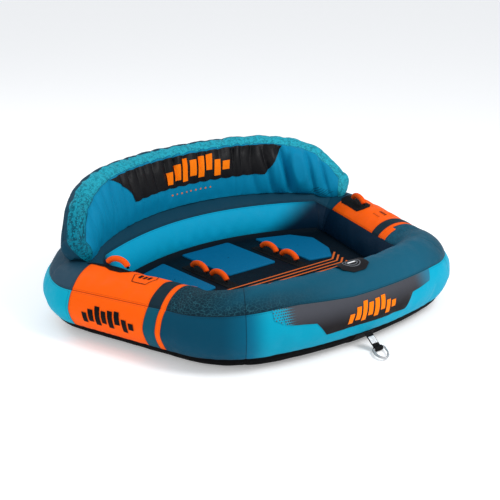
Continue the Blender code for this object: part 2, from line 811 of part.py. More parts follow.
def build_tow_anchor():
    """The reinforcing patch at the strap's root, and the load webbing inside the underside."""
    angles = steps(SECTION_BOTTOM, SEAM_BOTTOM - SEAM_GAP, 3)[1:]
    ring_panel("tow_anchor_patch", (-0.06, 0.06), angles, WEBBING, -0.0022, 0.0015)
    wide = 0.024
    rear_x, rear_y, front_y = 0.56, 0.42, -0.66
    legs = [(-wide, front_y), (wide, front_y), (rear_x + wide, rear_y), (rear_x - wide, rear_y),
            (0, front_y + 3.2 * wide), (-rear_x + wide, rear_y), (-rear_x - wide, rear_y)]
    extruded("tow_webbing", legs, SKIN + 0.0004, SKIN + 0.0022, WEBBING)


def build_tow_strap():
    drop = TOW_END - TOW_ROOT
    path = [TOW_ROOT + drop * t for t in steps(0.06, 0.80, 6)]
    ribbon("tow_strap", path, TOW_WIDTH, TOW_THICKNESS, WEBBING)
    along = drop.normalized()
    out = Vector((0, along.z, -along.y))
    middle = TOW_ROOT + drop * 0.50 + out * (TOW_THICKNESS / 2 + 0.0012)
    label = [middle + along * d for d in (-0.019, 0.019)]
    ribbon("strap_label", label, 0.036, 0.0012, LABEL)
    loop = tube_between("strap_loop", TOW_END, (1, 0, 0), STRAP_LOOP_RADIUS,
                        STRAP_LOOP_LENGTH, WEBBING, sides=16)
    bevel(loop, 0.002)
    bore = tube_between("strap_loop_bore", TOW_END, (1, 0, 0), ROD_RADIUS + 0.0018, 0.08, WEBBING)
    make_cutter(bore)
    cut(loop, bore)


def connector_point(across, out):
    """A place on the connector: across its bar, and out along its own yawed length."""
    lead = Vector((-math.sin(CONNECTOR_YAW), -math.cos(CONNECTOR_YAW), 0))
    bend = min(1.0, max(0.0, out / CONNECTOR_BEND))
    forward = Vector((0, -1, 0)).lerp(lead, bend)
    return TOW_END + Vector((across, 0, 0)) + forward * out


def build_connector():
    """The spring-gate connector: a bar through the loop, a bent rod and its gate."""
    bend = 0.006
    left = -0.032
    corner = [connector_point(left + bend * math.cos(a), bend + bend * math.sin(a))
              for a in steps(-math.pi / 2, -math.pi, 3)]
    bar = [connector_point(0.038, 0.0), connector_point(left, 0.0)]
    side = [connector_point(*place) for place in CONNECTOR_SIDE]
    sweep("connector_body", bar + corner[1:] + side, ROD_RADIUS, ALLOY, 2)
    gate = [connector_point(*place) for place in CONNECTOR_GATE]
    sweep("connector_gate", gate, ROD_RADIUS * 0.8, ALLOY, 2)


# ---------------------------------------------------------------- valves
def lathe(name, profile, origin, axis, finish, segments=20):
    """A turned piece: a closed profile of (radius, height) spun round its own Z."""
    data = bpy.data.meshes.new(name)
    points = [(radius, 0, height) for radius, height in profile]
    edges = [(i, i + 1) for i in range(len(points) - 1)]
    data.from_pydata(points, edges, [])
    made = add_object(name, data, finish)
    screw = made.modifiers.new("turn", "SCREW")
    screw.steps = segments
    screw.render_steps = segments
    screw.use_merge_vertices = True
    screw.merge_threshold = 0.00005
    made.matrix_world = basis(origin, axis, (1, 0.01, 0))
    return made


def build_valve(name, origin, axis):
    """A screw valve through a bladder's wall, with its cap seated in it."""
    seat = VALVE_RADIUS
    rim = 0.0015
    foot = -0.0066
    tail = -0.0160
    body = [(0, 0), (0.0095, 0), (0.0095, rim), (seat, rim), (seat, foot),
            (VALVE_STEM, foot), (VALVE_STEM, tail), (0, tail)]
    cap = [(0, CAP_TOP), (CAP_RADIUS * 0.9, CAP_TOP), (CAP_RADIUS, CAP_TOP - 0.001),
           (CAP_RADIUS, rim + 0.0006), (0.0085, rim + 0.0006), (0.0085, 0.0006), (0, 0.0006)]
    lathe(name + "_valve_body", body, origin, axis, PLASTIC)
    lathe(name + "_valve_cap", cap, origin, axis, PLASTIC)


def build_valves():
    build_valve("main", MAIN_VALVE, MAIN_VALVE_AXIS)
    build_valve("seat", SEAT_VALVE + Vector((0, 0, 0.003)), (0, 0, 1))
    build_valve("backrest", BACK_VALVE, BACK_VALVE_AXIS)
    rear = bpy.data.objects["backrest_rear_panel"]
    cut(rear, valve_hole("rear_panel_hole", BACK_VALVE, BACK_VALVE_AXIS, VALVE_RADIUS + 0.0015))


def build_valve_flap():
    """The badge that covers the main valve: a stiff flap hinged along its cockpit edge."""
    low, high = FLAP_ANGLES
    half = FLAP_HALF
    points = []
    for share in (-1, -0.8, -0.4, 0, 0.4, 0.8, 1):
        narrow = 0.30 if abs(share) == 1 else 0.06 if abs(share) == 0.8 else 0.0
        middle = (low + high) / 2
        reach = (high - low) / 2 * (1 - narrow)
        for angle in steps(middle - reach, middle + reach, 5):
            points.append(ring_point(half * share, angle, -FLAP_LIFT))
    flap = mesh_object("valve_flap", points, grid_faces(7, 6), NYLON_BLACK)
    solidify(flap, FLAP_THICKNESS)


# ---------------------------------------------------------------- the rear zip
REAR_CURVE = REAR_CORNER_X**2 / (2 * REAR_BOW)
ZIP_AXIS_Y = REAR_CORNER_Y + REAR_BOW - REAR_CURVE


def build_zip():
    """The zip that the bladders go in through, and its slider at the closed end."""
    ends = (HALF_LENGTH - ZIP_HALF, HALF_LENGTH + ZIP_HALF)
    low, high = ZIP_SEAM - ZIP_HALF_WIDTH, ZIP_SEAM + ZIP_HALF_WIDTH
    ring_panel("zip_tape", ends, steps(low, high, 2), NYLON_BLACK, -0.0022, 0.0016)
    surface = ring_point(HALF_LENGTH, ZIP_SEAM)
    radius = surface.y - ZIP_AXIS_Y + 0.0085
    angle = -SLIDER_ANGLE
    out = Vector((math.sin(angle), math.cos(angle), 0))
    place = Vector((0, ZIP_AXIS_Y, surface.z)) + out * radius
    zip_piece("zip_slider", place, out, (0.022, 0.014, 0.007))
    zip_piece("zip_pull", place + out * 0.0062, out, (0.040, 0.010, 0.003))


def zip_piece(name, place, out, size):
    data = bpy.data.meshes.new(name)
    builder = bmesh.new()
    bmesh.ops.create_cube(builder, size=1.0)
    bmesh.ops.scale(builder, vec=size, verts=builder.verts)
    builder.to_mesh(data)
    builder.free()
    piece = add_object(name, data, PLASTIC)
    along = Vector((out.y, -out.x, 0))
    piece.matrix_world = basis(place, out, along)
    bevel(piece, min(size) * 0.2, 1)


# ---------------------------------------------------------------- run
build_front_panels()
build_rear_panels()
build_side_bands("right", span)
build_side_bands("left", mirrored_span)
build_inner_walls()
build_bottom_cover()
build_main_bladder()
build_floor()
build_pads()
build_handle_strips()
build_backrest()
build_backrest_bladder()
build_side_handles()
build_floor_handles()
build_tow_strap()
build_connector()
build_front_graphic()
build_tow_anchor()
build_valves()
build_valve_flap()
build_zip()
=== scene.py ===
import json
import math

import bpy
import numpy as np
from mathutils import Matrix, Vector


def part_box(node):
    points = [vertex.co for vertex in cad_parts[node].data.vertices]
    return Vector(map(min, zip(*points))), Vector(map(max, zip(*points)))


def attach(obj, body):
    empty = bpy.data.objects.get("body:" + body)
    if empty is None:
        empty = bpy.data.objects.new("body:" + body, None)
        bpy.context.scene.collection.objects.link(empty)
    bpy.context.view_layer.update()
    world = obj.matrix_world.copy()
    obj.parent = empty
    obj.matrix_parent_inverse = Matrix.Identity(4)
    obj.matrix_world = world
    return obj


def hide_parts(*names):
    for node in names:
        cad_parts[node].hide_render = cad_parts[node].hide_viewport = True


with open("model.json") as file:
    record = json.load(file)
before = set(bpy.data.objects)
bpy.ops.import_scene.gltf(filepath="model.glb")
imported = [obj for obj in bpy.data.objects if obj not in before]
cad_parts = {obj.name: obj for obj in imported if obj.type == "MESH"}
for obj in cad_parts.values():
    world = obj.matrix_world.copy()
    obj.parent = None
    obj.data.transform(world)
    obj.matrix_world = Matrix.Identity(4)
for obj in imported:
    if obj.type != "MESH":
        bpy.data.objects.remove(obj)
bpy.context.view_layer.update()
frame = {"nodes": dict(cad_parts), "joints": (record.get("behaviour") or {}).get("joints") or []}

ROOT = "cover_and_bladders"

# Everything is in metres in the frame's axes: X across the seats, -Y to the boat, Z up.
# A place on the ring is (s, angle): s runs along the tube's centreline from the front's middle,
# + to the right; angle runs round its section from the outer side over the top.

# ---------------------------------------------------------------- driving dimensions
REAR_CORNER = (0.903, 0.346)
FRONT_CORNER = (0.643, -0.568)
FRONT_BOW = 0.110
REAR_BOW = 0.278
FRONT_CUT = 0.173
REAR_CUT = 0.151
FRONT_PULL = 0.62
REAR_PULL = 0.59
HALF_WIDTHS = (0.172, 0.152, 0.169)  # side, front, rear
HALF_HEIGHTS = (0.164, 0.187, 0.196)
SECTION_POWER = 1.76
PLAN_STEPS = 60
REAR_STEPS = 100
SIDE_SPAN = (0.75, 1.75)  # arc lengths between which a side runs straight

UNDER = -math.pi / 2
SEAM_BOTTOM = -0.694
SEAM_INNER = 2.412
SEAM_FLOOR = 3.30
OUTER_SEAM = ((-2.5, 0.555), (-1.45, 0.555), (-0.98, 0.65), (-0.88, 0.68), (-0.37, 0.68), (-0.10, 0.55),
              (0.52, 0.53), (1.0, 0.555), (2.5, 0.555))

PATCH_BACK_Y = 0.200
PATCH_FRONT_Y = -0.228
STRIPE_BACK_Y = -0.293
STRIPE_FRONT_Y = -0.322
CORNER_SEAM = 0.58
REAR_SEAM = 1.545
WALL_CORNER = 1.64

FLOOR_TOP = 0.150
BACK_AXIS_Y = -0.47
BACK_END = math.radians(50.6)
BACK_SEAM_TOP = 0.630
BACK_FRONT_RADIUS = 1.030
BACK_REAR_RADIUS = 1.180
BACK_FRONT_FLARE = 0.080
BACK_REAR_FLARE = 0.030
BACK_LEAN = 0.22
BACK_BASE_LIFT = 0.003
BACK_CROWN = 0.030
BACK_FRONT_PUFF = 0.020
BACK_REAR_PUFF = 0.026

MESH_STEP = 0.008


# ---------------------------------------------------------------- the ring's plan and section
def bezier(points, count):
    """A cubic curve over four points, in count pieces."""
    t = np.linspace(0, 1, count + 1)[:, None]
    a, b, c, d = (np.array(p, float) for p in points)
    r = 1 - t
    return a * r**3 + 3 * b * r * r * t + 3 * c * r * t * t + d * t**3


def front_point(x):
    x = np.asarray(x, float)
    return np.stack([x, FRONT_CORNER[1] - FRONT_BOW * (1 - (x / FRONT_CORNER[0]) ** 2)], -1)


def rear_point(x):
    x = np.asarray(x, float)
    return np.stack([x, REAR_CORNER[1] + REAR_BOW * (1 - (x / REAR_CORNER[0]) ** 2)], -1)


def unit(vector):
    vector = np.asarray(vector, float)
    return vector / np.maximum(1e-12, np.linalg.norm(vector, axis=-1, keepdims=True))


def half_plan():
    """The right half of the tube's centreline in plan, from the front's middle to the rear's."""
    side = unit(np.subtract(REAR_CORNER, FRONT_CORNER))
    front_x = FRONT_CORNER[0] - FRONT_CUT
    rear_x = REAR_CORNER[0] - REAR_CUT
    front_turn = unit([1, 2 * FRONT_BOW * front_x / FRONT_CORNER[0] ** 2])
    rear_turn = unit([-1, 2 * REAR_BOW * rear_x / REAR_CORNER[0] ** 2])
    start = np.array(FRONT_CORNER) + side * FRONT_CUT
    end = np.array(REAR_CORNER) - side * REAR_CUT
    reach = FRONT_CUT * FRONT_PULL
    first = front_point(front_x)
    front_bend = bezier((first, first + front_turn * reach, start - side * reach, start), PLAN_STEPS)
    reach = REAR_CUT * REAR_PULL
    last = rear_point(rear_x)
    rear_bend = bezier((end, end + side * reach, last - rear_turn * reach, last), PLAN_STEPS)
    front = front_point(np.linspace(0, front_x, PLAN_STEPS)[:-1])
    straight = start + (end - start) * np.linspace(0, 1, PLAN_STEPS)[1:-1, None]
    rear = rear_point(np.linspace(rear_x, 0, REAR_STEPS)[1:])
    return np.vstack([front, front_bend, straight, rear_bend, rear])


HALF = half_plan()
HALF_S = np.concatenate([[0], np.cumsum(np.linalg.norm(np.diff(HALF, axis=0), axis=1))])
HALF_LENGTH = float(HALF_S[-1])


def half_normals():
    """Outward normals of that half."""
    mirrored = np.vstack([HALF[1] * (-1, 1), HALF, HALF[-2] * (-1, 1)])
    along = unit(mirrored[2:] - mirrored[:-2])
    return np.stack([along[:, 1], -along[:, 0]], -1)


HALF_NORMAL = half_normals()


def wrapped_round(s):
    """An arc length brought into the ring's own range."""
    return (np.asarray(s, float) + HALF_LENGTH) % (2 * HALF_LENGTH) - HALF_LENGTH


def plan_at(s):
    """Centre and outward normal of the tube's centreline at each arc length."""
    s = wrapped_round(s)
    side = np.where(s >= 0, 1.0, -1.0)
    away = np.abs(s)
    centre = [np.interp(away, HALF_S, HALF[:, k]) for k in (0, 1)]
    normal = [np.interp(away, HALF_S, HALF_NORMAL[:, k]) for k in (0, 1)]
    return (np.stack([centre[0] * side, centre[1]], -1),
            unit(np.stack([normal[0] * side, normal[1]], -1)))


def section_size(normal):
    """Half width and half height of the tube where its outward normal points that way."""
    shares = (normal[..., 0] ** 2, np.maximum(0, -normal[..., 1]) ** 2, np.maximum(0, normal[..., 1]) ** 2)
    width = sum(w * share for w, share in zip(HALF_WIDTHS, shares))
    height = sum(h * share for h, share in zip(HALF_HEIGHTS, shares))
    return width, height


def signed_power(value, power):
    return np.sign(value) * np.abs(value) ** power


def ring_point(s, angle, lift=0.0):
    """Points on the even ring, or at a lift off it."""
    s, angle = np.broadcast_arrays(np.asarray(s, float), np.asarray(angle, float))
    centre, normal = plan_at(s)
    width, height = section_size(normal)
    power = 2 / SECTION_POWER
    out = (width + lift) * signed_power(np.cos(angle), power)
    up = height + (height + lift) * signed_power(np.sin(angle), power)
    flat = centre + normal * out[..., None]
    return np.concatenate([flat, up[..., None]], -1)


def ring_top(x, y, clear):
    """Height over points of the plan of a surface that lies clear of the ring's upper side."""
    point = np.stack([np.abs(x), y], -1)
    flat = point.reshape(-1, 2)
    gaps = np.linalg.norm(flat[:, None, :] - HALF[None, ::2, :], axis=-1)
    nearest = gaps.argmin(1)
    away = gaps[np.arange(len(flat)), nearest].reshape(point.shape[:-1])
    width, height = section_size(HALF_NORMAL[::2][nearest].reshape(point.shape))
    reach = np.minimum(1.0, away / (width + clear))
    return height + (height + clear) * (1 - reach**SECTION_POWER) ** (1 / SECTION_POWER)


def s_at_y(y):
    """Arc length at which the right side passes y."""
    sides = (HALF_S > SIDE_SPAN[0]) & (HALF_S < SIDE_SPAN[1])
    return float(np.interp(y, HALF[sides, 1], HALF_S[sides]))


def outer_seam(s):
    """Angle of the seam between the side panels and the top panels."""
    places, angles = zip(*OUTER_SEAM)
    return np.interp(wrapped_round(s), places, angles)


# ---------------------------------------------------------------- smooth seeded ripples
LATTICE = 4096
RIPPLE_START = 1000.37  # keeps the lattice's index positive
FOLD_WANDER = 0.35
FOLD_SHARPNESS = 1.6


def ripple(x, wavelength, seed):
    """A smooth seeded wave of about that wavelength, between -1 and 1."""
    lattice = np.random.default_rng(seed).uniform(-1, 1, LATTICE)
    t = np.asarray(x, float) / (wavelength / 2) + RIPPLE_START
    i = np.floor(t).astype(int)
    f = t - i
    f = f * f * (3 - 2 * f)
    return lattice[i % LATTICE] * (1 - f) + lattice[(i + 1) % LATTICE] * f


def folds(x, wavelength, seed):
    """Gathered folds: sharp valleys between round ridges, from 0 on a ridge to -1."""
    phase = x / wavelength + FOLD_WANDER * ripple(x, wavelength * 3, seed)
    depth = 0.6 + 0.4 * ripple(x, wavelength * 1.7, seed + 1)
    return -depth * (1 - np.abs(np.sin(math.pi * phase))) ** FOLD_SHARPNESS


def bell(distance, width):
    return np.exp(-(distance / width) ** 2)


# ---------------------------------------------------------------- meshes
def new_object(name, data, body):
    made = bpy.data.objects.new(name, data)
    bpy.context.scene.collection.objects.link(made)
    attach(made, body)
    return made


def finished(name, data, finish, body):
    """A smooth-shaded object of a mesh, in one material, riding on a body."""
    data.polygons.foreach_set("use_smooth", [True] * len(data.polygons))
    data.materials.append(finish)
    return new_object(name, data, body)


def stands_for(made, slot, *nodes):
    """The CAD nodes that a piece takes the place of, if any; its finish slot is not used."""
    if nodes:
        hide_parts(*nodes)
    return made


def add_map(data, layer, values):
    """A UV map from one pair of values for each vertex."""
    corners = np.zeros(len(data.loops), int)
    data.loops.foreach_get("vertex_index", corners)
    flat = np.asarray(values, float).reshape(-1, 2)[corners]
    data.uv_layers.new(name=layer).data.foreach_set("uv", flat.ravel())


def grid_object(name, points, finish, uv=None, seam=None, body=ROOT, close=(False, False), inward=False):
    """A mesh from a grid of points (rows, columns, 3), with UV maps from arrays of the same grid."""
    rows, columns = points.shape[:2]
    data = bpy.data.meshes.new(name)
    last_row = rows if close[0] else rows - 1
    last_column = columns if close[1] else columns - 1
    faces = []
    for i in range(last_row):
        below = (i + 1) % rows
        for j in range(last_column):
            after = (j + 1) % columns
            face = (i * columns + j, i * columns + after, below * columns + after, below * columns + j)
            faces.append(face if inward else face[::-1])
    data.from_pydata(points.reshape(-1, 3).tolist(), [], faces)
    for layer, values in (("cloth", uv), ("seam", seam)):
        if values is not None:
            add_map(data, layer, values)
    return finished(name, data, finish, body)


def joined_object(name, grids, finish, body=ROOT, uvs=None):
    """One mesh from several separate grids of points."""
    data = bpy.data.meshes.new(name)
    points, faces, flat_uv = [], [], []
    for k, grid in enumerate(grids):
        base = len(points)
        rows, columns = grid.shape[:2]
        points += grid.reshape(-1, 3).tolist()
        if uvs is not None:
            flat_uv += np.asarray(uvs[k]).reshape(-1, 2).tolist()
        for i in range(rows - 1):
            for j in range(columns - 1):
                corner = base + i * columns + j
                faces.append((corner, corner + columns, corner + columns + 1, corner + 1))
    data.from_pydata(points, [], faces)
    if uvs is not None:
        add_map(data, "cloth", flat_uv)
    return finished(name, data, finish, body)


def thicken(target, thickness):
    modifier = target.modifiers.new("thickness", "SOLIDIFY")
    modifier.thickness = thickness
    modifier.offset = -1.0


def grid_normals(points, close_rows=False):
    """Outward normals of a grid whose rows run along and whose columns run round."""
    if close_rows:
        along = np.roll(points, -1, 0) - np.roll(points, 1, 0)
    else:
        along = np.gradient(points, axis=0)
    around = np.gradient(points, axis=1)
    return unit(np.cross(along, around))


def eased(start, end, count, crowd=0.72):
    """Values from start to end, crowded at both ends, where the seams are."""
    t = np.linspace(0, 1, count + 1)
    t = t - crowd * np.sin(2 * math.pi * t) / (2 * math.pi)
    return start + (end - start) * t


# ---------------------------------------------------------------- materials
def nodes_of(name):
    made = bpy.data.materials.new(name)
    made.use_nodes = True
    tree = made.node_tree
    tree.nodes.clear()
    out = tree.nodes.new("ShaderNodeOutputMaterial")
    shader = tree.nodes.new("ShaderNodeBsdfPrincipled")
    tree.links.new(shader.outputs[0], out.inputs[0])
    return made, tree, shader


class Tree:
    """Short calls for the node trees below."""

    def __init__(self, tree):
        self.tree = tree

    def new(self, kind, **settings):
        node = self.tree.nodes.new(kind)
        for key, value in settings.items():
            setattr(node, key, value)
        return node

    def feed(self, socket, value):
        if isinstance(value, bpy.types.NodeSocket):
            self.tree.links.new(value, socket)
        else:
            socket.default_value = value

    def math(self, operation, a, b=0.0, c=0.0, clamp=False):
        node = self.new("ShaderNodeMath", operation=operation, use_clamp=clamp)
        for socket, value in zip(node.inputs, (a, b, c)):
            self.feed(socket, value)
        return node.outputs[0]

    def times(self, a, b):
        return self.math("MULTIPLY", a, b)

    def minus(self, a, b):
        return self.math("SUBTRACT", a, b)

    def less(self, a, b):
        return self.math("LESS_THAN", a, b)

    def fract(self, a):
        return self.math("FRACT", a)

    def size(self, a):
        return self.math("ABSOLUTE", a)

    def length(self, a, b):
        """Length of a flat vector."""
        return self.math("SQRT", self.math("ADD", self.times(a, a), self.times(b, b)))

    def ramp(self, value, low, high, start=0.0, end=1.0):
        """start at low to end at high, smoothly, and level outside."""
        node = self.new("ShaderNodeMapRange", interpolation_type="SMOOTHSTEP")
        for socket, v in zip(node.inputs, (value, low, high, start, end)):
            self.feed(socket, v)
        return node.outputs[0]

    def mix(self, share, first, second):
        node = self.new("ShaderNodeMix", data_type="RGBA")
        self.feed(node.inputs[0], share)
        self.feed(node.inputs[6], first)
        self.feed(node.inputs[7], second)
        return node.outputs[2]

    def uv(self, name="cloth"):
        """A UV map as a vector and as its two lengths."""
        node = self.new("ShaderNodeUVMap", uv_map=name)
        split = self.new("ShaderNodeSeparateXYZ")
        self.tree.links.new(node.outputs[0], split.inputs[0])
        return node.outputs[0], split.outputs[0], split.outputs[1]

    def place(self):
        return self.new("ShaderNodeTexCoord").outputs["Object"]

    def noise(self, vector, scale, detail=2.0, roughness=0.5):
        node = self.new("ShaderNodeTexNoise")
        values = {"Vector": vector, "Scale": scale, "Detail": detail, "Roughness": roughness}
        for socket, v in values.items():
            self.feed(node.inputs[socket], v)
        return node.outputs["Fac"]

    def voronoi(self, vector, scale):
        """Distance to the edges of irregular cells."""
        node = self.new("ShaderNodeTexVoronoi", feature="DISTANCE_TO_EDGE")
        self.feed(node.inputs["Vector"], vector)
        self.feed(node.inputs["Scale"], scale)
        return node.outputs["Distance"]

    def wave(self, value, period):
        """A sine of a length in metres, from 0 to 1."""
        turned = self.math("SINE", self.math("MULTIPLY", value, 2 * math.pi / period))
        return self.math("MULTIPLY_ADD", turned, 0.5, 0.5)

    def bump(self, height, distance, strength=1.0, before=None):
        node = self.new("ShaderNodeBump")
        node.inputs["Strength"].default_value = strength
        node.inputs["Distance"].default_value = distance
        self.feed(node.inputs["Height"], height)
        if before is not None:
            self.feed(node.inputs["Normal"], before)
        return node.outputs[0]


WEAVE = 0.0016
WEAVE_DEPTH = 0.00012
STITCH_PITCH = 0.0075
STITCH_GAP = 0.0075  # from the seam to its row of stitches
DARK_TONE = (0.004, 0.008, 0.012)
THREAD = (0.004, 0.006, 0.008, 1)
WORN_SHARE = 0.72
MOTTLE = 0.20


def weave_bump(t, u, v):
    return t.bump(t.times(t.wave(u, WEAVE), t.wave(v, WEAVE)), WEAVE_DEPTH)


def sewn(t, colour, normal, tone):
    """Seam shadow and a row of stitches beside it, from the map of (along, distance)."""
    _, along, gap = t.uv("seam")
    shade = t.ramp(gap, 0.0004, 0.0032, 0.20, 1.0)
    dash = t.less(t.fract(t.math("DIVIDE", along, STITCH_PITCH)), 0.62)
    near = t.less(t.size(t.minus(gap, STITCH_GAP)), 0.0008)
    thread = t.times(dash, near)
    colour = t.mix(t.times(thread, 0.45), colour, THREAD)
    colour = t.mix(shade, (*tone, 1), colour)
    normal = t.bump(thread, 0.0006, 0.8, normal)
    return colour, normal


def cloth(name, colour, second=None, roughness=0.55, seam=True, pattern=None, gloss=0.07,
          tone=DARK_TONE):
    """Coated woven nylon: a fine weave, faint mottling or a print, seam shade and stitches."""
    made, tree, shader = nodes_of(name)
    t = Tree(tree)
    vector, u, v = t.uv()
    place = t.place()
    if pattern is not None:
        base = pattern(t, u, v, vector)
    else:
        worn = second or [c * WORN_SHARE for c in colour]
        mottle = t.times(t.noise(place, 9.0, 3.0, 0.6), MOTTLE)
        base = t.mix(mottle, (*colour, 1), (*worn, 1))
    normal = weave_bump(t, u, v)
    normal = t.bump(t.noise(place, 60.0, 3.0), 0.0008, 0.35, normal)
    if seam:
        base, normal = sewn(t, base, normal, tone)
    t.feed(shader.inputs["Base Color"], base)
    rough = t.ramp(t.noise(place, 30.0, 2.0), 0.3, 0.7, roughness - 0.05, roughness + 0.06)
    t.feed(shader.inputs["Roughness"], rough)
    shader.inputs["Specular IOR Level"].default_value = gloss
    t.feed(shader.inputs["Normal"], normal)
    return made


TEAL = (0.000, 0.370, 0.530)
BACK_TEAL = (0.001, 0.225, 0.410)
WALL_TEAL = (0.001, 0.335, 0.560)
# DEEP_TEAL: the front side's teal left of the corner seam, darkened partly by print and partly by painted
# shade
DEEP_TEAL = (0.000, 0.052, 0.098)
PETROL = (0.005, 0.080, 0.135)
DARK_PETROL = (0.003, 0.024, 0.040)
LINE_TEAL = (0.030, 0.140, 0.180)
NAVY = (0.001, 0.013, 0.032)
BAND_NAVY = (0.006, 0.022, 0.034)
# the side panels' teal, darkened by painted shade where the band lies between stripe and patch
SHADED_BAND_TEAL = (0.002, 0.080, 0.130)
SLATE = (0.004, 0.045, 0.080)
ORANGE = (0.940, 0.105, 0.001)
PRINT_TONE = (0.950, 0.200, 0.002)
BLACK = (0.0025, 0.0027, 0.0040)


def crackle(t, vector, scale, width):
    """Thin lines round irregular cells: 1 on a line."""
    return t.ramp(t.voronoi(vector, scale), width * 0.4, width, 1.0, 0.0)


def seam_line(t, u, place):
    """1 on a thin seam that crosses a panel on both sides of the middle."""
    away = t.size(t.minus(t.size(u), place))
    return t.ramp(away, 0.0006, 0.0022, 0.8, 0.0)


def front_top_pattern(t, u, v, vector):
    """Petrol with a light crackle that fades from the outer left corner towards the middle."""
    fine = crackle(t, vector, 74.0, 0.060)
    dark = crackle(t, vector, 95.0, 0.24)
    left = t.ramp(u, -0.62, -0.05, 1.0, 0.0)
    right = t.ramp(u, 0.30, 0.85, 0.0, 0.55)
    low = t.ramp(v, 0.10, 0.235, 1.0, 0.0)
    far_left = t.ramp(u, -0.75, -0.50, 1.0, 0.0)
    share = t.math("MULTIPLY", t.math("MAXIMUM", left, right), t.math("MAXIMUM", low, far_left), clamp=True)
    plain_tone = t.mix(t.ramp(u, -0.2, 0.6), (*PETROL, 1), (0.007, 0.098, 0.165, 1))
    deep = t.mix(share, plain_tone, (*DARK_PETROL, 1))
    strength = t.math("MAXIMUM", t.times(share, 0.34), t.times(right, 0.9))
    speckle = t.times(dark, strength)
    dotted = t.mix(speckle, deep, (0.002, 0.012, 0.020, 1))
    lines = t.times(fine, t.times(t.times(share, left), 0.52))
    printed = t.mix(lines, dotted, (*LINE_TEAL, 1))
    return t.mix(seam_line(t, u, CORNER_SEAM), printed, (0.002, 0.010, 0.018, 1))


def border_pattern(t, u, v, vector):
    """Turquoise with a fine dark crackle, denser at its left lower end, and slate at the rear."""
    fine = crackle(t, vector, 105.0, 0.26)
    broken = t.ramp(t.noise(vector, 55.0, 1.0, 0.5), 0.40, 0.60)
    low = t.ramp(u, -0.98, -0.60, 1.0, 0.0)
    share = t.math("MULTIPLY_ADD", low, 0.38, 0.52)
    lines = t.times(t.times(fine, share), t.math("MULTIPLY_ADD", broken, 0.7, 0.3))
    base = t.mix(low, (0.020, 0.400, 0.520, 1), (0.0, 0.190, 0.280, 1))
    printed = t.mix(lines, base, (0.001, 0.030, 0.055, 1))
    return t.mix(t.ramp(v, 0.098, 0.102), printed, (*SLATE, 1))


def front_teal(t, u):
    """The front side's teal, which lightens from its left corner; the darker left is partly print and partly
    painted shade.
    """
    return t.mix(t.ramp(u, -CORNER_SEAM, -0.50), (0.0, 0.115, 0.210, 1), (0.0, 0.295, 0.440, 1))


def front_side_pattern(t, u, v, vector):
    """Teal, deep left of the corner seam and lighter towards the right; the deep left and the lightening are
    partly print and partly painted shade.
    """
    corner = t.ramp(u, -CORNER_SEAM - 0.004, -CORNER_SEAM + 0.004, 1.0, 0.0)
    # lighter towards the right and deep left of the corner: partly print, partly painted shade
    lighter = t.mix(t.ramp(u, -0.42, 0.30), front_teal(t, u), (0.000, 0.355, 0.530, 1))
    deep = t.mix(t.ramp(u, -0.66, -CORNER_SEAM), (*DEEP_TEAL, 1), (0.000, 0.085, 0.155, 1))
    printed = t.mix(corner, lighter, deep)
    return t.mix(seam_line(t, u, CORNER_SEAM), printed, (0.0, 0.030, 0.055, 1))


def wall_pattern(t, u, v, vector):
    """The rear wall's teal, which turns to navy at both corners, sooner low at the right one: painted shade
    in the corners, blending into the navy of the front wall's cloth.
    """
    gap = t.minus(u, HALF_LENGTH)
    slanted = t.minus(gap, t.times(t.minus(v, 0.42), 1.5))
    # painted shade across the right corner, slanted so that it reaches further low down
    right = t.ramp(slanted, -0.82, -0.56, 1.0, 0.0)
    left = t.ramp(gap, 0.70, 0.86)
    return t.mix(t.math("MAXIMUM", right, left), (*WALL_TEAL, 1), (*NAVY, 1))


def rear_top_pattern(t, u, v, vector):
    """Slate over the rear, a little greyer on the outer corners."""
    outer = t.ramp(v, 0.12, 0.30, 1.0, 0.0)
    return t.mix(outer, (*SLATE, 1), (0.022, 0.060, 0.095, 1))


DOT_PITCH = 0.0105


def graphic_pattern(t, u, v, vector):
    """Charcoal print: halftone dots at its left end, fading to petrol at its right end, with a painted sheen
    that greys the black towards its top.
    """
    rows = t.math("DIVIDE", v, DOT_PITCH)
    half_row = t.times(t.math("FLOOR", rows), 0.5)
    cell_u = t.fract(t.math("ADD", t.math("DIVIDE", u, DOT_PITCH), half_row))
    cell_v = t.fract(rows)
    du = t.minus(cell_u, 0.5)
    dv = t.minus(cell_v, 0.5)
    away = t.length(du, dv)
    size = t.ramp(u, -0.50, -0.35, 0.22, 0.80)
    dots = t.less(away, size)
    # lighter grey higher up: a painted sheen on the black print
    low = t.mix(t.ramp(v, -0.03, 0.09), (0.011, 0.009, 0.010, 1), (0.060, 0.062, 0.074, 1))
    ink = t.mix(t.ramp(u, 0.28, 0.43), low, (0.020, 0.180, 0.290, 1))
    return t.mix(dots, front_teal(t, u), ink)


def plain(name, colour, roughness=0.5, metallic=0.0, grain=120.0, depth=0.0002, gloss=0.35):
    """Moulded plastic, foam or metal: a fine grain and a faintly uneven tone."""
    made, tree, shader = nodes_of(name)
    t = Tree(tree)
    place = t.place()
    fine = t.noise(place, grain, 4.0, 0.6)
    broad = t.noise(place, grain / 8, 2.0)
    base = t.mix(t.ramp(broad, 0.35, 0.7), (*[c * 0.85 for c in colour], 1), (*colour, 1))
    t.feed(shader.inputs["Base Color"], base)
    t.feed(shader.inputs["Roughness"], t.ramp(fine, 0.3, 0.7, roughness - 0.06, roughness + 0.08))
    shader.inputs["Metallic"].default_value = metallic
    shader.inputs["Specular IOR Level"].default_value = gloss
    t.feed(shader.inputs["Normal"], t.bump(fine, depth, 0.5))
    return made


RIB_PITCH = 0.0022


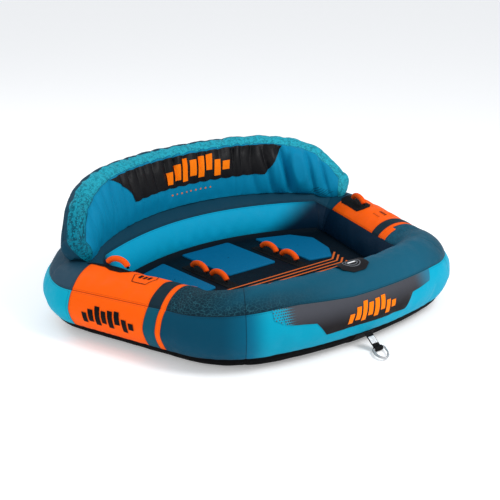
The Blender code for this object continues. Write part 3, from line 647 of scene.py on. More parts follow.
def webbing(name, colour):
    """Heavy woven strap: ribs across its width."""
    made, tree, shader = nodes_of(name)
    t = Tree(tree)
    _, u, v = t.uv()
    ribs = t.wave(u, RIB_PITCH)
    rows = t.wave(v, RIB_PITCH * 2.6)
    height = t.math("MULTIPLY_ADD", rows, 0.5, ribs)
    base = t.mix(t.times(ribs, 0.6), (*[c * 0.4 for c in colour], 1), (*colour, 1))
    t.feed(shader.inputs["Base Color"], base)
    shader.inputs["Roughness"].default_value = 0.75
    shader.inputs["Specular IOR Level"].default_value = 0.12
    t.feed(shader.inputs["Normal"], t.bump(height, 0.0006, 0.7))
    return made


CLOTH_TEAL = cloth("cloth_teal", TEAL)
CLOTH_BACK = cloth("cloth_back", BACK_TEAL)
CLOTH_WALL = cloth("cloth_wall", WALL_TEAL, pattern=wall_pattern)
CLOTH_FRONT_SIDE = cloth("cloth_front_side", TEAL, pattern=front_side_pattern)
CLOTH_FRONT_TOP = cloth("cloth_front_top", PETROL, pattern=front_top_pattern)
CLOTH_BORDER = cloth("cloth_border", TEAL, pattern=border_pattern)
CLOTH_REAR_TOP = cloth("cloth_rear_top", SLATE, pattern=rear_top_pattern)
CLOTH_NAVY = cloth("cloth_navy", NAVY)
CLOTH_BAND_TOP = cloth("cloth_band_top", BAND_NAVY)
CLOTH_BAND_SIDE = cloth("cloth_band_side", SHADED_BAND_TEAL)
CLOTH_SLATE = cloth("cloth_slate", SLATE)
CLOTH_ORANGE = cloth("cloth_orange", ORANGE, second=(0.98, 0.150, 0.006), tone=(0.30, 0.020, 0.001))
PATCH_EXTRA = cloth("print_patch", ORANGE, second=(0.98, 0.150, 0.006), seam=False)
CLOTH_RIM = cloth("cloth_rim", (0.0025, 0.0025, 0.0030), roughness=0.8, seam=False, gloss=0.03)
CLOTH_BLACK = cloth("cloth_black", BLACK, roughness=0.42, gloss=0.17)
CLOTH_GRAPHIC = cloth("cloth_graphic", BLACK, seam=False, pattern=graphic_pattern)
CLOTH_FLOOR = cloth("cloth_floor", (0.001, 0.005, 0.010), seam=False)
PRINT_ORANGE = cloth("print_orange", PRINT_TONE, second=PRINT_TONE, seam=False)
PRINT_FLOOR = cloth("print_floor", (0.62, 0.130, 0.025), seam=False)
PRINT_BLACK = cloth("print_black", BLACK, seam=False)
PAD_TEAL = cloth("pad_teal", (0.0, 0.125, 0.270), seam=False, roughness=0.6)
FOAM = plain("grip_foam", (0.90, 0.095, 0.003), 0.7, grain=900.0, depth=0.0003, gloss=0.1)
STRAP = webbing("strap_black", (0.008, 0.008, 0.009))
PLASTIC = plain("black_plastic", (0.008, 0.008, 0.010), 0.38)
PVC = plain("bladder_pvc", (0.10, 0.12, 0.14), 0.4, grain=60.0)
METAL = plain("satin_metal", (0.52, 0.53, 0.54), 0.40, 0.35, grain=300.0, depth=0.00005)


# ---------------------------------------------------------------- cloth under air pressure
SETTLE_FRAMES = 20
CLOTH_SLACK = 0.030
AIR_PRESSURE = 4.0
SETTLE_SHARE = 0.8  # of the cloth's movement that the cover takes
MOST_SETTLE = 0.009
SEAM_HOLD = 0.97
CROSS_SEAM_HOLD = 0.90


def catmull(values, places, cyclic):
    """Values sampled along their first axis at fractional places, on a smooth curve."""
    count = len(values)
    first = np.floor(places).astype(int)
    f = (places - first).reshape((-1,) + (1,) * (values.ndim - 1))

    def take(offset):
        index = first + offset
        return values[index % count if cyclic else np.clip(index, 0, count - 1)]

    p0, p1, p2, p3 = take(-1), take(0), take(1), take(2)
    return 0.5 * (2 * p1 + (p2 - p0) * f + (2 * p0 - 5 * p1 + 4 * p2 - p3) * f * f
                  + (3 * p1 - p0 - 3 * p2 + p3) * f**3)


def closed_faces(rows, columns, row_loop):
    """Faces of a tube of rows: a closed loop of them, or one with both ends shut."""
    faces = []
    for i in range(rows if row_loop else rows - 1):
        for j in range(columns):
            a, b = i * columns + j, i * columns + (j + 1) % columns
            c = ((i + 1) % rows) * columns
            faces.append((a, c + j, c + (j + 1) % columns, b))
    if not row_loop:
        faces.append(tuple(range(columns)))
        faces.append(tuple((rows - 1) * columns + j for j in reversed(range(columns))))
    return faces


def held_skin(grid, row_loop, pins):
    """A closed mesh of a grid, with how firmly each point is held."""
    data = bpy.data.meshes.new("inflated")
    data.from_pydata(grid.reshape(-1, 3).tolist(), [], closed_faces(*grid.shape[:2], row_loop))
    skin = bpy.data.objects.new("inflated", data)
    bpy.context.scene.collection.objects.link(skin)
    group = skin.vertex_groups.new(name="held")
    flat = pins.ravel()
    for level in np.unique(flat):
        if level > 0:
            group.add(np.flatnonzero(flat == level).tolist(), float(level), "REPLACE")
    return skin


def inflated(grid, row_loop, pins):
    """How far each point of a closed cloth moves when air fills it between its held seams."""
    skin = held_skin(grid, row_loop, pins)
    modifier = skin.modifiers.new("cloth", "CLOTH")
    settings = modifier.settings
    settings.quality = 4
    settings.mass = 0.12
    settings.air_damping = 3.0
    settings.tension_stiffness = 25.0
    settings.compression_stiffness = 12.0
    settings.shear_stiffness = 8.0
    settings.bending_stiffness = 0.10
    settings.vertex_group_mass = "held"
    settings.shrink_min = -CLOTH_SLACK
    settings.use_pressure = True
    settings.uniform_pressure_force = AIR_PRESSURE
    settings.effector_weights.gravity = 0.0
    modifier.collision_settings.use_collision = False
    modifier.point_cache.frame_start = 1
    modifier.point_cache.frame_end = SETTLE_FRAMES
    scene = bpy.context.scene
    for step in range(1, SETTLE_FRAMES + 1):
        scene.frame_set(step)
    evaluated = skin.evaluated_get(bpy.context.evaluated_depsgraph_get())
    moved = np.zeros(grid.size)
    evaluated.data.vertices.foreach_get("co", moved)
    bpy.data.objects.remove(skin, do_unlink=True)
    scene.frame_set(1)
    return moved.reshape(grid.shape) - grid


def softened(field):
    """A field blurred a little, so that no single coarse point shows as a kink."""
    for axis in (0, 1, 0):
        field = (np.roll(field, 1, axis) + 2 * field + np.roll(field, -1, axis)) / 4
    return field


def settled(grid, row_loop, pins):
    """The cloth's movement along its normals, softened and capped."""
    shift = inflated(grid, row_loop, pins)
    normals = grid_normals(grid, close_rows=row_loop)
    out = softened((shift * normals).sum(-1))
    return np.clip(out * SETTLE_SHARE, -MOST_SETTLE, MOST_SETTLE)


VALVES = ("main", "seat", "backrest")
VALVE_CLEAR = 0.045


def flat_at_valves(base, swell):
    """The cover lies flat round every valve, so that its cap stays in sight."""
    for name in VALVES:
        low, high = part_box(name + "_valve_cap")
        middle = (np.array(low) + np.array(high)) / 2
        near = bell(np.linalg.norm(base - middle, axis=-1), VALVE_CLEAR)
        swell = swell * (1 - np.minimum(1.0, 1.3 * near))
    return swell


# ---------------------------------------------------------------- the ring's cover
PATCH_BACK = s_at_y(PATCH_BACK_Y)
PATCH_FRONT = s_at_y(PATCH_FRONT_Y)
STRIPE_BACK = s_at_y(STRIPE_BACK_Y)
STRIPE_FRONT = s_at_y(STRIPE_FRONT_Y)


LONG_PANEL = 0.1
SEAM_CROWD = 0.6  # how closely a long panel's columns gather at its seams


def column_places():
    """Arc lengths of the columns, crowded at the seams, and the index of each seam."""
    right = [CORNER_SEAM, STRIPE_FRONT, STRIPE_BACK, PATCH_FRONT, PATCH_BACK, REAR_SEAM, WALL_CORNER]
    seams = [-HALF_LENGTH] + [-s for s in reversed(right)] + right + [HALF_LENGTH]
    places, index = [], {}
    for start, end in zip(seams, seams[1:]):
        index[round(start, 6)] = len(places)
        count = max(3, round((end - start) / MESH_STEP))
        crowd = SEAM_CROWD if end - start > LONG_PANEL else 0.0
        places += list(eased(start, end, count, crowd)[:-1])
    index[round(HALF_LENGTH, 6)] = len(places)
    return np.array(places), index


PLACES, COLUMN = column_places()
ROW_COUNTS = [8, 30, 40, 20]
ROW = np.concatenate([[0], np.cumsum(ROW_COUNTS)])


def band_edge(bound, places):
    """The angle of an edge between bands at each place: a fixed one, or the outer seam's."""
    return outer_seam(places) if bound is None else np.full(len(places), bound)


def row_angles():
    """Angle of every row at every column: an array (columns, rows)."""
    bounds = [UNDER, SEAM_BOTTOM, None, SEAM_INNER, SEAM_FLOOR]
    rows = []
    for k, count in enumerate(ROW_COUNTS):
        low, high = band_edge(bounds[k], PLACES), band_edge(bounds[k + 1], PLACES)
        share = eased(0, 1, count)[:-1]
        rows.append(low[:, None] + (high - low)[:, None] * share[None, :])
    rows.append(np.full((len(PLACES), 1), bounds[-1]))
    return np.concatenate(rows, 1)


ANGLES = row_angles()
HEIGHT_ROUND = 0.168  # mean radius of the section, which turns an angle into a length


SEAM_DIP_WIDTH = 0.006
PUCKER_REACH = 0.022
CROSS_PUCKER_REACH = 0.030
MOST_RING_SWELL = 0.012
MOST_BACK_SWELL = 0.058


def ring_swell():
    """How far the cover stands out of, or sinks into, its even shape at every grid point."""
    s = PLACES[:, None]
    a = ANGLES
    d_outer = (a - outer_seam(PLACES)[:, None]) * HEIGHT_ROUND
    d_inner = (a - SEAM_INNER) * HEIGHT_ROUND
    d_bottom = (a - SEAM_BOTTOM) * HEIGHT_ROUND
    swell = 0.0016 * ripple(s, 0.35, 3) * ripple(a, 1.3, 4)
    for gap, seed, depth in ((d_outer, 11, 0.0022), (d_inner, 12, 0.0026), (d_bottom, 13, 0.0018)):
        swell = swell - depth * bell(gap, SEAM_DIP_WIDTH)
        near = np.exp(-np.abs(gap) / PUCKER_REACH)
        swell = swell + 0.0022 * near * folds(s, 0.055, seed)
    for place in (CORNER_SEAM, REAR_SEAM):
        for side in (-1, 1):
            gap = s - side * place
            swell = swell - 0.0020 * bell(gap, SEAM_DIP_WIDTH)
            near = np.exp(-np.abs(gap) / CROSS_PUCKER_REACH)
            swell = swell + 0.0042 * near * folds(a * HEIGHT_ROUND, 0.042, 20 + side)
    return swell * np.clip((a - UNDER) / 0.5, 0, 1)


RING_SINK = 0.0046  # the bladder lies 7 mm inside the ring's cover
BACK_SINK = 0.0060  # and 9 mm inside the bolster's
COARSE_STEP = 0.0165
COARSE_ROWS = [4, 13, 21, 9, 7]
COARSE_BOUNDS = [UNDER, SEAM_BOTTOM, None, SEAM_INNER, SEAM_FLOOR, UNDER + 2 * math.pi]


def coarse_angles(places):
    """Angle of every row of the coarse grid, which goes all the way round."""
    angles = []
    for k, rows in enumerate(COARSE_ROWS):
        low, high = band_edge(COARSE_BOUNDS[k], places), band_edge(COARSE_BOUNDS[k + 1], places)
        angles.append(low[:, None] + (high - low)[:, None] * (np.arange(rows) / rows))
    return np.concatenate(angles, 1)


def held_seams(shape, starts, places):
    """How firmly the coarse ring's points are held: its seams, and all of its underside."""
    pins = np.zeros(shape)
    pins[:, starts[1:4]] = SEAM_HOLD
    pins[:, starts[4]:] = 1.0
    pins[:, 0] = 1.0
    for seam in (CORNER_SEAM, REAR_SEAM, STRIPE_BACK, PATCH_BACK):
        for sign in (-1, 1):
            column = round((sign * seam - places[0]) / (places[1] - places[0])) % len(places)
            pins[column] = np.maximum(pins[column], CROSS_SEAM_HOLD)
    return pins


def settled_ring():
    """The ring's cover under pressure, worked out on a coarse closed grid and read off finely."""
    count = round(2 * HALF_LENGTH / COARSE_STEP)
    places = np.linspace(-HALF_LENGTH, HALF_LENGTH, count, endpoint=False)
    angles = coarse_angles(places)
    starts = np.concatenate([[0], np.cumsum(COARSE_ROWS)])
    field = settled(ring_point(places[:, None], angles), True, held_seams(angles.shape, starts, places))
    field = catmull(field, (PLACES - places[0]) / (places[1] - places[0]), True)
    rows = [starts[k] + eased(0, 1, n)[:-1] * COARSE_ROWS[k] for k, n in enumerate(ROW_COUNTS)]
    return catmull(field.T, np.concatenate(rows + [[starts[4]]]), False).T


def build_ring_surface():
    """Points of the finished ring cover, with its puckers and its settled cloth."""
    base = ring_point(PLACES[:, None], ANGLES)
    normals = grid_normals(base, close_rows=True)
    swell = np.clip(ring_swell() + settled_ring(), -RING_SINK, MOST_RING_SWELL)
    swell = flat_at_valves(base, swell)
    return base + normals * swell[..., None]


RING = build_ring_surface()
RING_NORMAL = grid_normals(RING, close_rows=True)


def columns_between(start, end):
    """Columns from one seam to the next one named, past the jump at the back where they cross it."""
    first, last = COLUMN[round(start, 6)], COLUMN[round(end, 6)]
    if last <= first:
        last += len(PLACES)
    return np.arange(first, last + 1)


def seam_map(places, angles):
    """(along, distance) to the nearest edge of a panel's grid, in metres."""
    rise = angles * HEIGHT_ROUND
    low = rise - rise[:, :1]
    high = rise[:, -1:] - rise
    left = np.broadcast_to((places - places[0])[:, None], rise.shape)
    right = np.broadcast_to((places[-1] - places)[:, None], rise.shape)
    level = np.broadcast_to(places[:, None], rise.shape)
    gaps = np.stack([low, high, left, right])
    ways = np.stack([level, level, rise, rise])
    nearest = gaps.argmin(0)
    along = np.take_along_axis(ways, nearest[None], 0)[0]
    return np.stack([along, gaps.min(0)], -1)


def unrolled(columns):
    """Arc lengths of a run of columns, without the jump at the back."""
    places = PLACES[columns % len(PLACES)]
    return places + 2 * HALF_LENGTH * (columns >= len(PLACES))


def ring_panel(name, ends, bands, finish, nodes, slot):
    """One sewn panel of the ring's cover, between two seams across it and two along it."""
    columns = columns_between(*ends)
    rows = np.arange(ROW[bands[0]], ROW[bands[1]] + 1)
    pick = np.ix_(columns % len(PLACES), rows)
    places = unrolled(columns)
    angles = ANGLES[pick]
    uv = np.stack([np.broadcast_to(places[:, None], angles.shape), angles * HEIGHT_ROUND], -1)
    made = grid_object(name, RING[pick], finish, uv, seam_map(places, angles))
    return stands_for(made, slot, *nodes)


SIDE_PANELS = (
    ("cover_patch_side_", PATCH_FRONT, PATCH_BACK, (1, 2), CLOTH_ORANGE, "side_patch_", "nylon_orange"),
    ("cover_patch_top_", PATCH_FRONT, PATCH_BACK, (2, 3), CLOTH_ORANGE, "side_patch_", "nylon_orange"),
    ("cover_band_side_", STRIPE_BACK, PATCH_FRONT, (1, 2), CLOTH_BAND_SIDE, "side_band_", "nylon_teal"),
    ("cover_band_top_", STRIPE_BACK, PATCH_FRONT, (2, 3), CLOTH_BAND_TOP, "side_band_", "nylon_navy"),
    ("cover_stripe_", STRIPE_FRONT, STRIPE_BACK, (1, 3), CLOTH_ORANGE, "side_stripe_", "nylon_orange"),
)


def build_ring_cover():
    """The ring's sewn panels, each in its own cloth."""
    front = (-STRIPE_FRONT, STRIPE_FRONT)
    rear = (PATCH_BACK, -PATCH_BACK)
    ring_panel("cover_front_side", front, (1, 2), CLOTH_FRONT_SIDE, ["front_side_panel"], "nylon_teal")
    ring_panel("cover_front_top", front, (2, 3), CLOTH_FRONT_TOP, ["front_top_panel"], "nylon_petrol")
    ring_panel("cover_rear_side", rear, (1, 2), CLOTH_TEAL, ["rear_side_panel"], "nylon_teal")
    ring_panel("cover_rear_top", rear, (2, 3), CLOTH_REAR_TOP, ["rear_top_panel"], "nylon_navy")
    for side, sign in (("left", -1), ("right", 1)):
        for part, low, high, bands, finish, node, slot in SIDE_PANELS:
            ends = (low, high) if sign > 0 else (-high, -low)
            ring_panel(part + side, ends, bands, finish, [node + side], slot)
    ring_panel("cover_wall_rear", (WALL_CORNER, -WALL_CORNER), (3, 4), CLOTH_WALL, ["rear_inner_wall"],
               "nylon_teal")
    ring_panel("cover_wall_front", (-WALL_CORNER, WALL_CORNER), (3, 4), CLOTH_NAVY,
               ["front_inner_wall"], "nylon_navy")


def build_bottom():
    """The underside: the turned-up rim and a flat sheet across."""
    rows = np.arange(ROW[0], ROW[1] + 1)
    rim = RING[:, rows]
    inner = [rim[:, :1] * (share, share, 1) for share in (0.0, 0.5)]
    grid = np.concatenate(inner + [rim], 1)
    angles = np.concatenate([np.full((len(PLACES), 2), UNDER), ANGLES[:, rows]], 1)
    uv = grid[..., :2]
    gap = (SEAM_BOTTOM - angles) * HEIGHT_ROUND
    seam = np.stack([np.broadcast_to(PLACES[:, None], gap.shape), gap], -1)
    made = grid_object("cover_bottom", grid, CLOTH_RIM, uv, seam, close=(True, False))
    stands_for(made, "nylon_black", "bottom_cover")


# ---------------------------------------------------------------- the bolster
def back_share(angle):
    """Share of its full height that the bolster has at an angle from its middle."""
    ratio = np.minimum(1.0, np.abs(angle) / BACK_END)
    return (1 - ratio**5.6) ** (1 / 1.2)


def back_place(angle, radius, height):
    angle, radius, height = np.broadcast_arrays(angle, radius, height)
    return np.stack([radius * np.sin(angle), BACK_AXIS_Y + radius * np.cos(angle), height], -1)


def back_base(angle, radius):
    """Height of the ring's upper side under the bolster."""
    spot = back_place(angle, radius, 0.0)
    return ring_top(spot[..., 0], spot[..., 1], BACK_BASE_LIFT)


def outline_normal(angle):
    """The way out of the bolster's outline, along it and upwards."""
    before = np.maximum(-BACK_END, angle - 0.01)
    after = np.minimum(BACK_END, angle + 0.01)
    run = (after - before) * BACK_REAR_RADIUS
    climb = (back_share(after) - back_share(before)) * (BACK_SEAM_TOP - 0.34)
    length = np.hypot(run, climb)
    return -climb / length, run / length


def spread(start, end, count, crowded):
    return eased(start, end, count) if crowded else np.linspace(start, end, count + 1)


def back_surface(angles, counts, crowded=True):
    """The bolster as a grid (columns, rows, 3): front, border, rear and base faces in turn."""
    a = angles[:, None]
    outward = (a / BACK_END) ** 2
    front = BACK_FRONT_RADIUS + BACK_FRONT_FLARE * outward
    rear = BACK_REAR_RADIUS + BACK_REAR_FLARE * outward
    low = back_base(a, front)
    rise = np.maximum(0.004, (BACK_SEAM_TOP - low) * back_share(a))
    lean = BACK_LEAN * rise
    puff = np.minimum(1.0, rise / 0.10)
    t = spread(0, 1, counts[0], crowded)[None, :-1]
    swell = BACK_FRONT_PUFF * puff * np.sin(math.pi * t)
    front_face = back_place(a, front + lean * t - swell, low + rise * t)
    sideways, upwards = outline_normal(a)
    t = spread(0, 1, counts[1], crowded)[None, :-1]
    bulge = BACK_CROWN * np.sin(math.pi * t)
    radius = front + lean + (rear - front) * t
    border = back_place(a + sideways * bulge / radius, radius, low + rise + upwards * bulge)
    rear_low = np.minimum(low + rise, back_base(a, rear))
    t = spread(1, 0, counts[2], crowded)[None, :-1]
    swell = BACK_REAR_PUFF * puff * np.sin(math.pi * t)
    rear_face = back_place(a, rear + lean * t + swell, rear_low + (low + rise - rear_low) * t)
    t = np.linspace(0, 1, counts[3] + 1)[None, :]
    radius = rear + (front - rear) * t
    base = back_place(a, radius, np.minimum(low + rise, back_base(a, radius)))
    return np.concatenate([front_face, border, rear_face, base], 1)


BACK_COUNTS = [30, 16, 22, 6]
BACK_ROW = np.concatenate([[0], np.cumsum(BACK_COUNTS)])
BACK_RUN = 1.09  # mean radius of the front face, which turns an angle into a length
BLUNT_END = BACK_END * 0.948
END_ROUNDS = 9
END_DEPTH = 0.052


def back_angles():
    count = round(BLUNT_END * BACK_RUN / (0.0068))
    t = np.linspace(-1, 1, 2 * count + 1)
    return BLUNT_END * (t + 0.12 * np.sin(t * math.pi) / math.pi)


BACK_A = back_angles()

GATHER_REACH = 0.42  # shares of the front face's height
HEM_REACH = 0.22
GATHER_DEPTH = 0.035
RIGHT_FOLDS = 0.66  # where along the bolster its deep folds are, and its fine ones
LEFT_FOLDS = -0.70
RIGHT_DEPTH = 0.062
LEFT_DEPTH = 0.0055
SCALLOP_PITCH = 0.105
SCALLOP_DEPTH = 0.0055
COARSE_BACK = [16, 8, 12, 6]
COARSE_BACK_STEP = 0.0145


def front_swell(run, a, t, share):
    """The front face: gathers below the top seam, deep folds at its right end, fine ones at its left."""
    middle = np.clip(1.3 - np.abs(a) / math.radians(34), 0, 1)
    gathers = np.exp(-(1 - t) / GATHER_REACH) * (0.30 + 0.70 * middle)
    slanted = run + 0.02 * ripple(t, 0.9, 34)
    lower = np.exp(-((t - 0.36) / 0.16) ** 2) * middle
    body = np.sin(math.pi * np.clip(t, 0, 1)) ** 0.5
    right = bell(run - RIGHT_FOLDS, 0.16) * body
    left = bell(run - LEFT_FOLDS, 0.17) * body
    swell = GATHER_DEPTH * gathers * (1.4 * folds(slanted, 0.072, 33) + 0.90)
    swell = swell + 0.004 * gathers * folds(run, 0.027, 44)
    swell = swell + 0.005 * lower * ripple(run, 0.11, 45)
    swell = swell + 0.004 * np.exp(-t / HEM_REACH) * folds(run, 0.07, 35)
    swell = swell + RIGHT_DEPTH * right * (1.6 * folds(run + 0.07 * t, 0.112, 36) + 0.92)
    return share * (swell + LEFT_DEPTH * left * (folds(run - 0.03 * t, 0.040, 46) + 0.5))


def back_swell(surface):
    """How far the bolster's cover stands out of, or sinks into, its even shape."""
    a = BACK_A[:, None]
    run = a * BACK_RUN
    rows = np.arange(surface.shape[1])[None, :]
    on_front = rows <= BACK_ROW[1]
    on_border = (rows > BACK_ROW[1]) & (rows <= BACK_ROW[2])
    on_rear = (rows > BACK_ROW[2]) & (rows <= BACK_ROW[3])
    t_front = np.interp(rows, np.arange(BACK_COUNTS[0] + 1), eased(0, 1, BACK_COUNTS[0]))
    t_border = np.clip((rows - BACK_ROW[1]) / BACK_COUNTS[1], 0, 1)
    t_rear = np.clip((rows - BACK_ROW[2]) / BACK_COUNTS[2], 0, 1)
    swell = 0.003 * ripple(run, 0.30, 31) * ripple(rows * 0.02, 0.4, 32)
    swell = swell + front_swell(run, a, t_front, on_front)
    waves = np.abs(np.sin(math.pi * run / SCALLOP_PITCH + ripple(run, 0.4, 47)))
    scallops = SCALLOP_DEPTH * np.sin(math.pi * t_border) * (waves - 0.6)
    swell = swell + on_border * (scallops + 0.003 * folds(run, 0.052, 38))
    swell = swell + on_rear * 0.006 * np.exp(-t_rear / 0.25) * folds(run, 0.06, 39)
    for seam_row in BACK_ROW[1:4]:
        gap = np.linalg.norm(surface - surface[:, seam_row:seam_row + 1], axis=-1)
        swell = swell - 0.0030 * bell(gap, SEAM_DIP_WIDTH)
    return swell * np.clip((BLUNT_END - np.abs(a)) / 0.05, 0.25, 1)


def seam_wave(surface):
    """The top seam rises and dips a little between its gathers."""
    run = BACK_A[:, None] * BACK_RUN
    top = surface[:, BACK_ROW[1]][:, None]
    near = np.exp(-np.linalg.norm(surface - top, axis=-1) / 0.045)
    return 0.0042 * near * (np.abs(np.sin(math.pi * run / 0.075)) - 0.5 + 0.5 * ripple(run, 0.16, 48))


def end_rounds(surface, column, outward):
    """Columns that close an end of the bolster in a soft round."""
    loop = surface[column]
    middle = loop.mean(0)
    out = []
    for k in range(1, END_ROUNDS + 1):
        turn = math.pi / 2 * k / END_ROUNDS
        out.append(middle + (loop - middle) * math.cos(turn) + outward * END_DEPTH * math.sin(turn))
    return out


def settled_back():
    """The bolster's cover under pressure, on a coarse closed grid."""
    count = round(2 * BLUNT_END * BACK_RUN / COARSE_BACK_STEP)
    angles = np.linspace(-BLUNT_END, BLUNT_END, count)
    grid = back_surface(angles, COARSE_BACK, False)[:, :-1]
    starts = np.concatenate([[0], np.cumsum(COARSE_BACK)])
    pins = np.zeros(grid.shape[:2])
    pins[:, starts[:4]] = SEAM_HOLD
    pins[:, starts[3]:] = 1.0
    pins[:2] = 1.0
    pins[-2:] = 1.0
    field = settled(grid, False, pins)
    field = np.concatenate([field, field[:, :1]], 1)
    field = catmull(field, (BACK_A - angles[0]) / (angles[1] - angles[0]), False)
    rows = []
    for k, n in enumerate(BACK_COUNTS):
        share = spread(0, 1, n, k < 3)[:-1]
        rows.append(starts[k] + share * COARSE_BACK[k])
    return catmull(field.T, np.concatenate(rows + [[starts[4]]]), False).T


def build_back_surface():
    """Points of the finished bolster cover."""
    base = back_surface(BACK_A, BACK_COUNTS)
    normals = grid_normals(base)
    swell = np.clip(back_swell(base) + SETTLED_BACK, -BACK_SINK, MOST_BACK_SWELL)
    swell = flat_at_valves(base, swell)
    swelled = base + normals * swell[..., None]
    swelled[..., 2] += seam_wave(base)
    return swelled


SETTLED_BACK = settled_back()
BACK = build_back_surface()
BACK_NORMAL = grid_normals(BACK)


def arc_of(points, axis):
    steps = np.linalg.norm(np.diff(points, axis=axis), axis=-1)
    start = np.zeros_like(np.take(steps, [0], axis))
    return np.concatenate([start, np.cumsum(steps, axis)], axis)


def back_panel(name, band, finish, nodes, slot):
    """One sewn face of the bolster."""
    rows = slice(BACK_ROW[band], BACK_ROW[band + 1] + 1)
    points = BACK[:, rows]
    rise = arc_of(points, 1)
    run = np.broadcast_to((BACK_A * BACK_RUN)[:, None], rise.shape)
    uv = np.stack([run, rise], -1)
    gap = np.minimum(rise, rise[:, -1:] - rise)
    made = grid_object(name, points, finish, uv, np.stack([run, gap], -1))
    return stands_for(made, slot, *nodes)


def build_bolster_ends():
    """The border's cloth turns round both ends of the bolster."""
    for side, column, sign in (("left", 0, -1), ("right", -1, 1)):
        outward = unit(BACK[column].mean(0) - BACK[column - sign].mean(0))
        outward = unit(outward * (1, 1, 0.35))
        grid = np.stack([BACK[column]] + end_rounds(BACK, column, outward))
        rise = arc_of(grid, 1)[:1].repeat(len(grid), 0)
        rise = rise - rise[:, BACK_ROW[1]:BACK_ROW[1] + 1]
        start = BLUNT_END * BACK_RUN
        run = np.broadcast_to((start + arc_of(grid, 0)[:, :1]) * sign, rise.shape)
        gap = np.broadcast_to(np.arange(len(grid))[:, None] * 0.01, rise.shape)
        made = grid_object("bolster_end_" + side, grid, CLOTH_BORDER, np.stack([run, rise], -1),
                           np.stack([rise, gap], -1), inward=sign < 0)
        stands_for(made, "nylon_petrol", "backrest_border")


def build_bolster():
    back_panel("bolster_front", 0, CLOTH_BACK, ["backrest_front_panel"], "nylon_teal")
    back_panel("bolster_border", 1, CLOTH_BORDER, ["backrest_border"], "nylon_petrol")
    back_panel("bolster_rear", 2, CLOTH_SLATE, ["backrest_rear_panel"], "nylon_navy")
    build_bolster_ends()
    back_panel("bolster_base", 3, CLOTH_NAVY, ["backrest_base_panel"], "nylon_navy")


# ---------------------------------------------------------------- prints that follow a surface
def between(values, axis):
    """For each value: the index of the axis point below it, and how far on it lies."""
    at = np.interp(values, axis, np.arange(len(axis)))
    below = np.minimum(at.astype(int), len(axis) - 2)
    return below, (at - below)[..., None]


def on_column(surface, column, angle):
    """Points of a surface at angles along one column for each, between its rows."""
    rows = ANGLES[column]
    j = np.clip((rows <= angle[..., None]).sum(-1) - 1, 0, rows.shape[-1] - 2)
    low = np.take_along_axis(rows, j[..., None], -1)
    high = np.take_along_axis(rows, j[..., None] + 1, -1)
    g = np.clip((angle[..., None] - low) / (high - low), 0, 1)
    return surface[column, j] * (1 - g) + surface[column, j + 1] * g


def on_ring(s, angle, lift):
    """Points on the finished cover, a little above it."""
    s, angle = np.broadcast_arrays(np.asarray(s, float), np.asarray(angle, float))
    lifted = RING + RING_NORMAL * lift
    i, f = between(wrapped_round(s), np.append(PLACES, HALF_LENGTH))
    before = on_column(lifted, i, angle)
    after = on_column(lifted, (i + 1) % len(PLACES), angle)
    return before * (1 - f) + after * f


def on_back(angle, share, lift):
    """Points on the bolster's front face, at a share of the way from its hem to its top seam."""
    angle, share = np.broadcast_arrays(np.asarray(angle, float), np.asarray(share, float))
    lifted = BACK + BACK_NORMAL * lift
    i, f = between(angle, BACK_A)
    j, g = between(share, eased(0, 1, BACK_COUNTS[0]))
    before = lifted[i, j] * (1 - g) + lifted[i, j + 1] * g
    after = lifted[i + 1, j] * (1 - g) + lifted[i + 1, j + 1] * g
    return before * (1 - f) + after * f


def quad(corners, columns, rows):
    """A grid of flat coordinates inside four corners: low left, low right, high right, high left."""
    a, b, c, d = (np.array(corner, float) for corner in corners)
    u = np.linspace(0, 1, columns + 1)[:, None, None]
    v = np.linspace(0, 1, rows + 1)[None, :, None]
    return (a * (1 - u) + b * u) * (1 - v) + (d * (1 - u) + c * u) * v


BAR_SPANS = [(0.0, 0.55), (0.12, 0.80), (0.0, 1.0), (0.18, 0.86), (0.05, 0.95), (0.30, 1.0), (0.0, 0.70),
             (0.22, 0.60)]


def slanted_bars(low, high, first, width, gap, slant):
    """A row of slanted bars between two levels, each over its own share of the height."""
    out = []
    x = first
    for start, end in BAR_SPANS:
        lean0, lean1 = slant * start, slant * end
        y0 = low + (high - low) * start
        y1 = low + (high - low) * end
        corners = [(x + lean0, y0), (x + width + lean0, y0), (x + width + lean1, y1), (x + lean1, y1)]
        out.append(quad(corners, 7, 16))
        x += width + gap
    return out


def print_on_ring(name, shapes, finish, lift=0.0026):
    """Shapes are grids of (place, length up from the outer side) in metres."""
    grids = [on_ring(shape[..., 0], shape[..., 1] / HEIGHT_ROUND, lift) for shape in shapes]
    return joined_object(name, grids, finish, uvs=shapes)


# name, lowest and highest angle, first place, bar width, gap, slant, finish, lift
RING_MARKS = (
    ("front_mark", -0.17, 0.376, -0.145, 0.0255, 0.010, 0.020, PRINT_ORANGE, 0.0046),
    ("side_mark", -0.33, 0.30, -1.336, 0.029, 0.0105, -0.012, PRINT_BLACK, 0.0026),
)


def build_ring_prints():
    """Rows of bars on the front and on the left patch, where a name was printed."""
    for name, low, high, first, width, gap, slant, finish, lift in RING_MARKS:
        bars = slanted_bars(low * HEIGHT_ROUND, high * HEIGHT_ROUND, first, width, gap, slant)
        print_on_ring(name, bars, finish, lift)


def outline_rows(s):
    """Lower edge of the front graphic, as an angle, at a place along the front."""
    return np.interp(np.abs(s), [0.0, 0.235, 0.285, 0.42, 0.44], [-0.30, -0.30, 0.13, 0.24, 0.50])


GRAPHIC_SHIFT = -0.020  # the print sits a little left of the middle
GRAPHIC_END = 0.4395
GRAPHIC_TAIL = -0.475
GRAPHIC_LIFT = 0.0024


